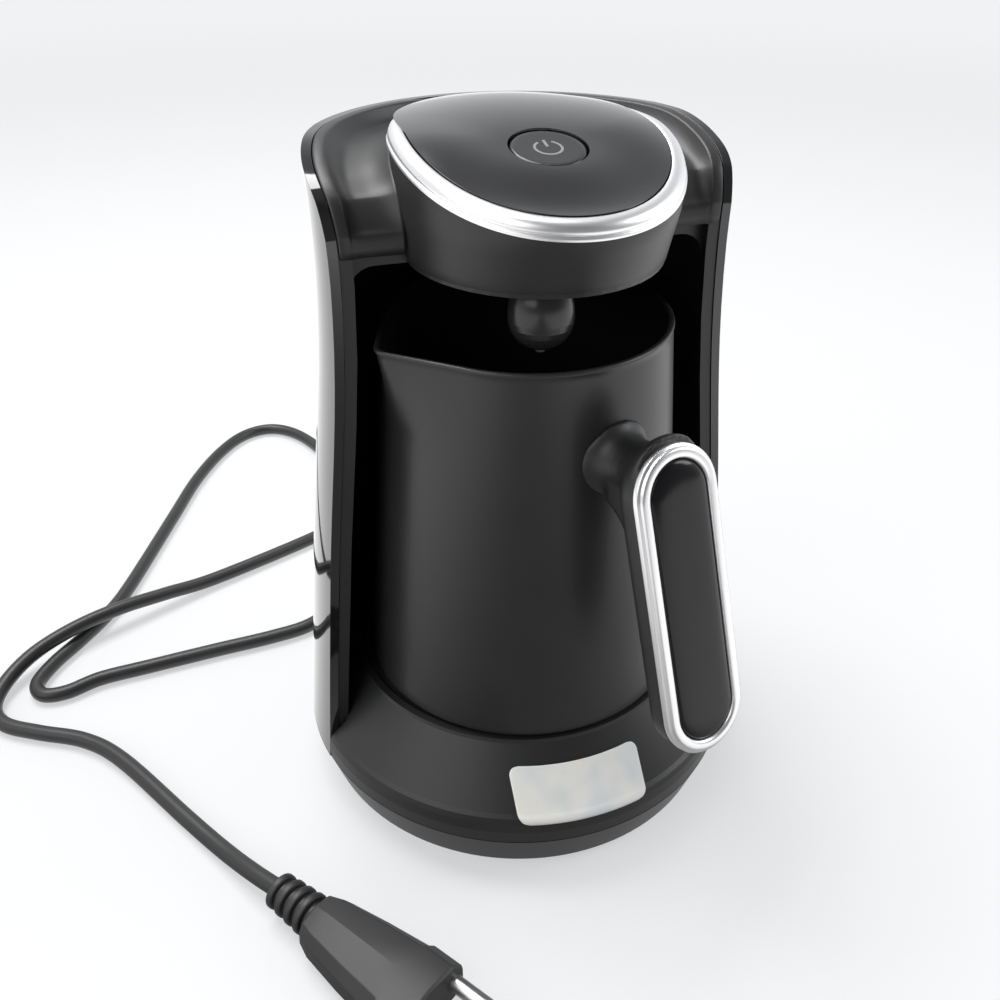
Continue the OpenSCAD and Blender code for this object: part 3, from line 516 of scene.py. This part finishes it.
for side in (-1, 1):
    shoulder_rings = []
    for k in range(line_rings + straight_rings + 1):
        share = bend_start + (line_end - bend_start) * min(k, line_rings) / line_rings
        z = eased(line_heights, share)
        y = eased(line_depths, share) + 2 * max(0, k - line_rings)
        lean = soft_step(share, lean_from, lean_full)
        deepening = soft_step(share, bend_start, dish_full)
        depth = dish_depth * (least_share + added_share * deepening)
        reach = head_rear - head_middle if y > head_middle else head_front + head_middle
        toward = min(1.0, (y - head_middle) / (reach - head_gap))
        inner_x = (head_half - head_side_gap) * math.sqrt(max(0.0, 1 - toward * toward))
        proud = band_proud * min(1.0, k / 6)
        row = [(inside_shell(inset, y, z), drop - proud) for inset, drop in band_section]
        start_x = inside_shell(band_inset, y, z)
        for j in range(dish_points + 1):
            part = j / dish_points
            row.append((start_x + (inner_x - start_x) * part, max(0.12, hollow(part, depth))))
        shoulder_rings.append([at(side * x, y + drop * (1 - lean), z - drop * lean)
                               for x, drop in row])
    shoulder = bmesh.new()
    drawn_along(shoulder, shoulder_rings, around=False)
    piece = new_piece("shoulder_left" if side < 0 else "shoulder_right", shoulder, matt_black,
                      smooth=80)
    backing = piece.modifiers.new("backing", "SOLIDIFY")
    backing.thickness = 0.0003
    backing.offset = 0.0

# --- Wall of the head --------------------------------------------------------
# The front frame's moulding carries a round drum that tapers a little downwards and
# has a softly rounded lower edge. This is its smooth outer face.
drum_low = 181.0
drum_height = 15.7
drum_half, drum_front, drum_rear = 35.25, 45.0, 43.0
drum_top_inset = 0.62
drum_points = 192
drum_rings = []
for up, tuck in ((0.0, 2.0), (0.15, 1.1), (0.6, 0.4), (1.4, 0.0), (4.0, 0.0), (8.0, 0.0),
                 (12.0, 0.0), (drum_height, 0.0)):
    row = []
    for k in range(drum_points):
        turn = math.tau * k / drum_points
        top_x, top_y = head_outline(drum_top_inset, turn)
        low_x, low_y = egg(drum_half, drum_front, drum_rear, turn)
        share = up / drum_height
        size = 1 - tuck / 40
        x, y = low_x + (top_x - low_x) * share, low_y + (top_y - low_y) * share
        row.append(at(x * size, head_middle + (y - head_middle) * size, drum_low + up))
    drum_rings.append(row)
drum_top = [head_outline(drum_top_inset, math.tau * k / drum_points) for k in range(drum_points)]
drum_rings.append([at(x, y, ring_height(y) + 0.1) for x, y in drum_top])
drum = bmesh.new()
drawn_along(drum, drum_rings)
new_piece("head_wall", drum, matt_black, smooth=60)

# --- Head cover and overflow probe -------------------------------------------
# A matt cover closes the head from below. The dark glossy bulb of the overflow
# sensor hangs from it, with a short steel pin at its tip.
dress("head_cover", matt_black)
bulb_x, bulb_y = -6.4, -33.0
bulb_low = 163.6
bulb_radius = 8.6


def spun(points, centre, axis, steps):
    """An open line of points, spun all the way round an axis."""
    built = bmesh.new()
    corners = [built.verts.new(point) for point in points]
    line = [built.edges.new(pair) for pair in zip(corners, corners[1:])]
    bmesh.ops.spin(built, geom=corners + line, cent=centre, axis=axis, angle=math.tau,
                   steps=steps, use_merge=True)
    return built


bulb_line = [(0.0, bulb_low + 0.9), (1.5, bulb_low + 0.1)]
for k in range(1, 13):
    turn = math.radians(10 + 80 * k / 12)
    rise = bulb_radius * (1 - math.cos(turn))
    bulb_line.append((bulb_radius * math.sin(turn), bulb_low + rise + 0.1))
bulb_line += [(8.55, 174.0), (8.3, 176.2), (7.7, 178.2), (6.9, 179.8), (6.4, 181.2)]
bulb = spun([at(bulb_x + r, bulb_y, z) for r, z in bulb_line], at(bulb_x, bulb_y, 0),
            (0, 0, 1), steps=64)
probe_gloss = moulded("probe_gloss", (0.012, 0.012, 0.013), (0.02, 0.02, 0.021), 0.2,
                      spread=0.1, grain=900.0, bump=0.00001)
new_piece("probe_bulb_skin", bulb, probe_gloss, smooth=60)
dress("probe_bulb", probe_gloss)

# --- Trim ring ---------------------------------------------------------------
# Satin silver plating on a moulded ring: a broad upper bevel, a fine groove and
# a thin lower lip. It steps down at the sides and dips towards the front.
satin_silver = metal("satin_silver", (0.86, 0.86, 0.87), 0.27, brushed=1500.0, bump=0.000006)
ring_section = ((0.3, 0.02), (0.02, 0.2), (0.0, 0.75), (0.12, 1.0), (0.5, 1.1), (0.62, 1.25),
                (0.5, 1.42), (0.42, 1.7), (0.5, 2.3), (0.85, 3.0), (1.45, 3.62), (2.2, 3.92),
                (3.1, 4.0), (3.9, 3.98), (4.15, 3.85), (4.2, 3.4), (4.2, 0.3), (3.9, 0.02))
ring_points = 192
ring_rings = []
for k in range(ring_points + 1):
    turn = math.tau * k / ring_points
    row = []
    for inset, height in ring_section:
        x, y = head_outline(inset, turn)
        row.append(at(x, y, ring_height(y) + height))
    ring_rings.append(row)
trim = bmesh.new()
drawn_along(trim, ring_rings)
new_piece("trim_ring_plated", trim, satin_silver, node="top_trim_ring",
          smooth=50)

# --- Top plate ---------------------------------------------------------------
# A gently swelled plate of polished black plastic fills the ring and has a round
# well for the button.
button_place = Vector((0.0, -17.5, 209.93))
button_tilt = math.radians(12.302)
well_radius = 10.15
well_depths = (2.4, 0.5)
plate_inset, rear_shift = 4.45, 3.9
plate_up, plate_thick = 4.15, 0.0018
edge_fall, front_back_change = 0.17, 0.05
plate_points = 160
swell_steps = 18


def on_button(x, y, z):
    """A point given in the button's own tilted frame, in millimetres."""
    c, s = math.cos(button_tilt), math.sin(button_tilt)
    return at(button_place.x + x, button_place.y + y * c - z * s, button_place.z + y * s + z * c)


plate_columns = []
for k in range(plate_points):
    turn = math.tau * k / plate_points
    inset = plate_inset - rear_shift * soft_step(-math.cos(turn), 0.1, 0.65)
    edge_x, edge_y = head_outline(inset, turn)
    edge = at(edge_x, edge_y, ring_height(edge_y) + plate_up)
    aim = math.atan2(edge_y - button_place.y, edge_x - button_place.x)
    well_x, well_y = well_radius * math.cos(aim), well_radius * math.sin(aim)
    well = on_button(well_x, well_y, 0.0)
    flat = Vector((edge.x - well.x, edge.y - well.y, 0.0))
    climb = math.sin(aim) * math.tan(button_tilt) * flat.length
    fall = -(edge_fall + front_back_change * math.sin(aim)) * flat.length
    column = [on_button(well_x, well_y, -deep) for deep in well_depths]
    for step in range(swell_steps + 1):
        share = step / swell_steps if step else 0.004
        height = curve(share, well.z, climb, edge.z, fall)
        column.append(Vector((well.x + flat.x * share, well.y + flat.y * share, height)))
    column.append(edge - Vector((0, 0, plate_thick)))
    plate_columns.append(column)
plate = bmesh.new()
drawn_along(plate, list(zip(*plate_columns)))
plate_gloss = moulded("plate_gloss", (0.007, 0.007, 0.009), (0.011, 0.011, 0.013), 0.13,
                      spread=0.04, grain=400.0, bump=0.000003, coat=0.35)
new_piece("top_plate_polished", plate, plate_gloss, node="top_plate",
          smooth=40)

# --- Power button ------------------------------------------------------------
# A round cap with a softly rounded edge stands in the well with a dark gap all
# round. The grey power sign is let into its face.
cap_line = ((0.0, -0.30), (6.5, -0.30), (8.2, -0.26), (9.1, -0.27), (9.5, -0.42), (9.72, -0.75),
            (9.8, -1.3), (9.8, -5.8), (9.2, -6.1))
cap = spun([(r / 1000, 0, z / 1000) for r, z in cap_line], (0, 0, 0), (0, 0, 1), steps=96)
bmesh.ops.rotate(cap, cent=(0, 0, 0), verts=cap.verts,
                 matrix=Matrix.Rotation(button_tilt, 3, "X"))
bmesh.ops.translate(cap, verts=cap.verts, vec=at(*button_place))
button_satin = moulded("button_satin", (0.014, 0.014, 0.015), (0.02, 0.02, 0.021), 0.24,
                       spread=0.05, grain=1500.0, bump=0.00001)
new_piece("button_cap", cap, button_satin, node="power_button", body="button",
          smooth=50)
dress("button_symbol", moulded("symbol_grey", (0.2, 0.2, 0.205), (0.28, 0.28, 0.28), 0.4))

# --- Pot ---------------------------------------------------------------------
# Drawn steel with a matt black non-stick coat, a straight cone with a rolled rim
# and a pointed beak pressed out of it on the left.
pot_ahead = -4.5
pot_floor, rim_top = 44.2, 161.6
floor_radius, rim_radius = 51.3, 41.2
pot_height = 117.4
steel_wall = 1.45
handle_turn = math.radians(16)
spout_aim = math.pi + handle_turn
spout_reach = 48.4
beak_depth = 26.0
beak_half_turn = 0.62
beak_flow = 1.15
beak_ahead, beak_aside, beak_limit = 19.6, 12.9, 965.5


def pot_radius(z):
    """Outer radius of the pot's straight cone at a height."""
    return floor_radius + (rim_radius - floor_radius) * (z - pot_floor) / pot_height


pot_line = [(0.0, 44.2), (30.0, 44.2), (49.6, 44.2), (50.5, 44.5), (51.05, 45.1), (51.25, 46.0)]
pot_line += [(pot_radius(z), z) for z in (50, 60, 75, 90, 105, 118, 128)]
pot_line += [(pot_radius(z), z) for z in [130 + 1.25 * k for k in range(24)] + [159.9]]
pot_line += [(41.5, 160.4), (41.62, 160.9), (41.5, 161.35), (41.1, 161.6), (40.4, 161.6),
             (39.95, 161.4)]
pot_line += [(pot_radius(z) - steel_wall, z) for z in [160.5 - 1.25 * k for k in range(25)]]
pot_line += [(pot_radius(z) - steel_wall, z) for z in (128, 110, 90, 70, 55)]
pot_line += [(49.5, 47.6), (48.6, 46.5), (47.0, 46.0), (25.0, 46.0), (0.0, 46.0)]
pot_centre = at(0, pot_ahead, 0)
pot = spun([at(r, pot_ahead, z) for r, z in pot_line], pot_centre, (0, 0, 1), steps=240)
for corner in pot.verts:
    away = Vector((corner.co.x - pot_centre.x, corner.co.y - pot_centre.y))
    depth = rim_top - corner.co.z * 1000
    if away.length < 0.03 or depth > beak_depth:
        continue
    off = abs((math.atan2(away.y, away.x) - spout_aim + math.pi) % math.tau - math.pi)
    if off > beak_half_turn:
        continue
    beak_side = beak_limit / (beak_ahead * math.cos(off) + beak_aside * math.sin(off))
    push = max(0.0, min(spout_reach, beak_side) - rim_radius)
    fade = 1 - depth / beak_depth
    away *= 1 + push * fade ** beak_flow / 1000 / away.length
    corner.co.x, corner.co.y = pot_centre.x + away.x, pot_centre.y + away.y
pot_coat = moulded("pot_coat", (0.014, 0.014, 0.015), (0.022, 0.022, 0.023), 0.34,
                   spread=0.1, grain=4200.0, bump=0.00002, coat=0.05)
new_piece("pot_shell", pot, pot_coat, node="pot_body", body="pot", smooth=50)

# --- Handle ------------------------------------------------------------------
# A matt black moulding: a short round arm spreads where it meets the pot, and a
# curved web carries it down the back of the long, round-ended grip.
grip_length, grip_width = 87.1, 26.8
grip_lean = math.radians(18.6)
grip_reach, grip_middle = 77.8, 107.2
arm_root = 43.57
arm_height, arm_rise = 134.0, 4.0
arm_points = 40
underside_sag = 0.22


def beside_pot(x, y, z):
    """A point in the handle's frame: x sideways, y outwards from the pot's axis."""
    c, s = math.cos(handle_turn), math.sin(handle_turn)
    return at(x * c + y * s, pot_ahead + x * s - y * c, z)


def on_grip(x, deep, up):
    """A point on the leaning grip: deep counts from its face towards the pot."""
    c, s = math.cos(grip_lean), math.sin(grip_lean)
    return beside_pot(x, grip_reach - deep * c - up * s, grip_middle + up * c - deep * s)


def round_ended(width, length, end_points=26, side_points=10):
    """The outline of a slab with round ends, anticlockwise."""
    radius, straight = width / 2, (length - width) / 2
    outline = []
    for end, middle in ((0, straight), (1, -straight)):
        for k in range(end_points + 1):
            turn = math.pi * (end + k / end_points)
            outline.append((radius * math.cos(turn), radius * math.sin(turn) + middle))
        x, y = outline[-1]
        outline += [(x, y - 2 * y * k / side_points) for k in range(1, side_points)]
    return outline


def grip_rings(section):
    """Rings round the grip for (cut, depth) pairs: cut comes off its width and length."""
    return [[on_grip(x, deep, up) for x, up in round_ended(grip_width - cut, grip_length - cut)]
            for cut, deep in section]


def closed_along(built, rings):
    """Draws an outline along its rings and closes both ends."""
    first, last = drawn_along(built, rings)
    built.faces.new(first)
    built.faces.new(list(reversed(last)))


handle = bmesh.new()
closed_along(handle, grip_rings(((0.9, 2.7), (0.8, 4.5), (0.8, 7.4), (1.6, 9.0), (3.4, 10.0),
                                 (6.4, 10.45))))
arm_rings = []
for along, radius in ((-0.9, 11.6), (0.2, 11.2), (1.2, 9.6), (2.8, 8.3), (5.0, 7.5), (8.0, 7.3),
                      (11.0, 8.0), (13.0, 9.2), (15.2, 10.8), (18.0, 11.4)):
    row = []
    for k in range(arm_points):
        turn = math.tau * k / arm_points
        x, up = radius * math.cos(turn), radius * math.sin(turn)
        start = math.sqrt(max(0.0, arm_root ** 2 - x * x)) if along < 3 else arm_root
        sag = underside_sag * max(0.0, along - 5) * up / radius if up < 0 else 0.0
        rise = arm_rise * max(0.0, along) / 15
        row.append(beside_pot(x, start + along, arm_height + up + sag + rise))
    arm_rings.append(row)
closed_along(handle, arm_rings)
web_rings = []
for x, cut in ((-6.6, 1.4), (-5.4, 0.3), (0, 0.0), (5.4, 0.3), (6.6, 1.4)):
    outline = [(45.2 + cut, 124.0), (48.5, 123.4), (52.4, 121.4), (55.8, 118.0), (58.6, 113.2),
               (61.4 - cut, 105.5), (66.5, 104.0), (64.0, 120.0), (60.5, 134.0), (48.0, 136.0)]
    web_rings.append([beside_pot(x, y, z + (cut if z < 130 else 0)) for y, z in outline])
closed_along(handle, web_rings)
handle_piece = new_piece("handle_moulding", handle, matt_black, node="handle_body", body="pot",
                         smooth=180)
merging = handle_piece.modifiers.new("merging", "REMESH")
merging.mode = "VOXEL"
merging.voxel_size = 0.00065
merging.use_smooth_shade = True
easing = handle_piece.modifiers.new("easing", "SMOOTH")
easing.factor = 0.5
easing.iterations = 9

# --- Silver band and gloss inlay of the grip ---------------------------------
# A plated band in two steps runs round the grip's face. The inlay inside it is
# polished black plastic with a slight swell.
trim_section = ((0.0, 2.6), (0.0, 1.35), (0.4, 1.1), (1.5, 1.0), (1.8, 0.85), (2.0, 0.45),
                (2.5, 0.12), (3.4, 0.0), (5.8, 0.0), (6.8, 0.15), (7.5, 0.55), (7.9, 1.0),
                (8.0, 2.6))
band = bmesh.new()
drawn_along(band, grip_rings(trim_section + trim_section[:1]))
new_piece("grip_band", band, satin_silver, node="handle_trim", body="pot",
          smooth=50)
inlay = bmesh.new()
closed_along(inlay, grip_rings(((8.3, 2.6), (8.3, 0.95), (8.65, 0.62), (9.2, 0.4), (10.5, 0.12),
                                (12.8, -0.12), (16.3, -0.28), (20.3, -0.35), (24.3, -0.38))))
inlay_gloss = moulded("inlay_gloss", (0.004, 0.004, 0.005), (0.007, 0.007, 0.008), 0.12,
                      spread=0.04, grain=400.0, bump=0.000003, specular=0.34)
new_piece("grip_inlay", inlay, inlay_gloss, node="handle_inlay", body="pot",
          smooth=60)

# --- Cord, its gland and the plug --------------------------------------------
# A round black mains lead of the usual 5.6 mm leaves the middle of the back through
# a ribbed gland, lies in folds on the table and ends in a moulded two-pin plug.
cord_across = 5.6
gland_reach = 97.3
cord_points, route_steps = 20, 8
plug_start = (-94.5, -57.0, 8.0)
plug_aim = Vector((0.573, -0.8196, 0))
route = ((0, gland_reach + 0.05, 12), (0, gland_reach + 9, 10.6), (-7, 115.5, 6), (-23, 120, 3.4),
         (-38, 111.5, 3), (-46, 95, 3), (-53.5, 79.5, 3), (-66, 69.5, 3), (-82, 66.4, 3),
         (-104, 65, 3), (-130, 63, 3), (-148, 61.5, 3), (-160, 57.5, 3), (-168.5, 58.5, 3),
         (-171, 65.5, 3), (-165.5, 76, 3), (-156, 87.5, 3), (-146, 101, 3), (-137, 118, 3),
         (-117, 167, 3), (-104, 199, 3), (-90, 224, 3), (-76, 239, 3), (-61, 242, 3),
         (-48, 231, 3), (-38, 208, 3), (-33, 180, 3), (-34, 156, 3), (-43, 139, 3),
         (-58, 130, 3), (-101, 112, 3.8), (-122, 103.5, 6.6), (-140, 96, 8.9), (-157, 88, 9.2),
         (-172, 79, 7.4), (-182, 68, 4.8), (-185.5, 56.5, 3.3), (-181, 46.5, 3), (-169, 38.5, 3),
         (-153, 29.5, 3), (-140, 15.5, 3), (-120, -17, 3), (-109.5, -34, 3.8),
         (-101.6, -46.8, 6.2), plug_start)
cord_way = []
for k in range(len(route) - 1):
    a, b = Vector(route[max(0, k - 1)]), Vector(route[k])
    c, d = Vector(route[k + 1]), Vector(route[min(len(route) - 1, k + 2)])
    for step in range(route_steps):
        t = step / route_steps
        cord_way.append(0.5 * (2 * b + (c - a) * t + (2 * a - 5 * b + 4 * c - d) * t * t
                               + (3 * b - a - 3 * c + d) * t ** 3))
cord_way.append(Vector(plug_start))
cord_round = [math.tau * j / cord_points for j in range(cord_points)]
cord_rings = []
for k, spot in enumerate(cord_way):
    heading = (cord_way[min(k + 1, len(cord_way) - 1)] - cord_way[max(k - 1, 0)]).normalized()
    if k == 0:
        heading = Vector((0, 1, 0))
    aside = Vector((0, 0, 1)).cross(heading).normalized()
    over = heading.cross(aside)
    ring = [math.cos(turn) * aside + math.sin(turn) * over for turn in cord_round]
    cord_rings.append([at(*(spot + cord_across / 2 * way)) for way in ring])
lead = bmesh.new()
closed_along(lead, cord_rings)
cord_pvc = moulded("cord_pvc", (0.017, 0.017, 0.018), (0.03, 0.03, 0.03), 0.36, spread=0.12,
                   grain=1200.0, bump=0.00002)
mains_lead = new_piece("mains_lead", lead, cord_pvc, node="power_cord",
                       smooth=60)

gland_line = [(0.2, 72.6), (6.6, 73.3), (6.6, 76.0), (6.2, 76.6), (5.6, 77.0)]
for k in range(4):
    start, wide = 79.0 + 4.4 * k, 6.0 - 0.45 * k
    gland_line += [(wide - 1.1, start - 0.7), (wide - 0.2, start - 0.3), (wide, start + 0.3),
                   (wide, start + 1.6), (wide - 0.2, start + 2.1), (wide - 1.1, start + 2.4)]
gland_line += [(3.9, gland_reach - 0.4), (3.3, gland_reach), (2.9, gland_reach)]
gland = spun([at(r, y, 12) for r, y in gland_line], at(0, 0, 12), (0, 1, 0), steps=48)
new_piece("gland_ribs", gland, foot_rubber, smooth=40)
dress("cord_gland", foot_rubber)

plug_side = Vector((-plug_aim.y, plug_aim.x, 0))


def by_plug(along, aside, up):
    """A point along the plug's axis, millimetres from where the cord enters it."""
    return at(*(Vector(plug_start) + plug_aim * along - plug_side * aside + Vector((0, 0, up))))


relief_points = 36
relief_line = [(0.0, 3.0), (0.1, 4.6)]
for k in range(4):
    start, wide, thin = 4.1 * k, 5.6 + 0.3 * k, 4.3 + 0.2 * k
    relief_line += [(start + 0.25, wide - 0.3), (start + 0.6, wide), (start + 2.0, wide),
                    (start + 2.5, wide - 0.3), (start + 2.7, thin), (start + 3.9, thin)]
relief_line.append((19.0, 4.9))
relief_round = [math.tau * j / relief_points for j in range(relief_points)]
plug = bmesh.new()
closed_along(plug, [[by_plug(along, radius * math.cos(turn), radius * math.sin(turn))
                     for turn in relief_round] for along, radius in relief_line])
plug_cut = ((-0.75, -1), (0.75, -1), (1, -0.35), (0.95, 0.3), (0.72, 0.75), (0, 1), (-0.72, 0.82),
            (-1, 0.2), (-1, -0.35))
body_rings = [[by_plug(along, w * u, h * v) for u, v in plug_cut] for along, w, h in
              ((16.4, 6.9, 6.0), (16.9, 7.6, 6.5), (21.6, 9.4, 7.2), (35.0, 11.4, 7.4),
               (49.0, 13.0, 7.6), (50.2, 13.9, 7.7), (60.0, 14.0, 7.7), (61.0, 13.4, 7.2))]
closed_along(plug, body_rings)
plug_pvc = moulded("plug_pvc", (0.02, 0.02, 0.021), (0.035, 0.035, 0.036), 0.42, spread=0.1,
                   grain=1400.0, bump=0.00003)
plug_piece = new_piece("plug_moulding", plug, plug_pvc, node="plug_body",
                       smooth=25)
softening = plug_piece.modifiers.new("softening", "BEVEL")
softening.width = 0.0006
softening.segments = 3
softening.limit_method = "ANGLE"
softening.angle_limit = math.radians(22)

# --- Blank label -------------------------------------------------------------
# A blank white sticker with rounded corners and a painted pearly sheen: a cloud of cool and
# warm tints in its colour. It is bent over the rounded front edge of the deck and lies on its cone.
label_left, label_right, label_corner = -22.15, 19.45, 3.2
label_proud, label_lift = 0.42, 0.25
label_rows, label_columns = 40, 60
label_way = ((24.9, 72.65), (25.6, 72.5), (26.3, 72.1), (26.9, 71.5), (27.25, 70.9),
             (28.2, 69.95), (30.0, 68.3), (32.0, 66.47), (34.0, 64.64), (36.0, 62.8), (37.9, 61.06))
label_length = [0.0]
for (z0, r0), (z1, r1) in zip(label_way, label_way[1:]):
    label_length.append(label_length[-1] + math.hypot(z1 - z0, r1 - r0))
label_rings = []
for k in range(label_rows + 1):
    run = label_length[-1] * k / label_rows
    i = max(j for j in range(len(label_way) - 1) if label_length[j] <= run)
    part = (run - label_length[i]) / (label_length[i + 1] - label_length[i])
    z = label_way[i][0] + (label_way[i + 1][0] - label_way[i][0]) * part
    r = label_way[i][1] + (label_way[i + 1][1] - label_way[i][1]) * part + label_proud
    end = min(run, label_length[-1] - run)
    pull = label_corner - math.sqrt(max(0.0, label_corner ** 2 - max(0.0, label_corner - end) ** 2))
    row = []
    for j in range(label_columns + 1):
        x = label_left + pull + (label_right - label_left - 2 * pull) * j / label_columns
        row.append(at(x, -math.sqrt(r * r - x * x), z + label_lift))
    label_rings.append(row)
label = bmesh.new()
drawn_along(label, label_rings, around=False)
pearl, pearl_shader = new_material("label_with_painted_sheen", (0.74, 0.74, 0.71), 0.3)
pearl_nodes, pearl_links = pearl.node_tree.nodes, pearl.node_tree.links
pearl_place = pearl_nodes.new("ShaderNodeTexCoord")
sheen_and_gloss_cloud = pearl_nodes.new("ShaderNodeTexNoise")
sheen_and_gloss_cloud.inputs["Scale"].default_value = 55.0
sheen_and_gloss_cloud.inputs["Detail"].default_value = 2.0
# Painted sheen: cool and warm tints in a cloud over the white stand in for the sticker's pearly
# play of light; the same cloud varies its roughness.
painted_sheen_tone = pearl_nodes.new("ShaderNodeValToRGB")
painted_sheen_tone.color_ramp.elements[0].position = 0.32
painted_sheen_tone.color_ramp.elements[0].color = (0.76, 0.80, 0.82, 1)
painted_sheen_tone.color_ramp.elements[1].position = 0.66
painted_sheen_tone.color_ramp.elements[1].color = (0.93, 0.90, 0.82, 1)
middle = painted_sheen_tone.color_ramp.elements.new(0.5)
middle.color = (0.90, 0.90, 0.87, 1)
pearl_links.new(pearl_place.outputs["Object"], sheen_and_gloss_cloud.inputs["Vector"])
pearl_links.new(sheen_and_gloss_cloud.outputs["Fac"], painted_sheen_tone.inputs["Fac"])
pearl_links.new(painted_sheen_tone.outputs["Color"], pearl_shader.inputs["Base Color"])
pearl_gloss = pearl_nodes.new("ShaderNodeMapRange")
pearl_gloss.inputs["To Min"].default_value = 0.22
pearl_gloss.inputs["To Max"].default_value = 0.42
pearl_links.new(sheen_and_gloss_cloud.outputs["Fac"], pearl_gloss.inputs["Value"])
pearl_links.new(pearl_gloss.outputs["Result"], pearl_shader.inputs["Roughness"])
label_piece = new_piece("label_sheet", label, pearl, node="blank_label",
                        smooth=60)
paper_body = label_piece.modifiers.new("paper", "SOLIDIFY")
paper_body.thickness = 0.0002
paper_body.offset = 0.0
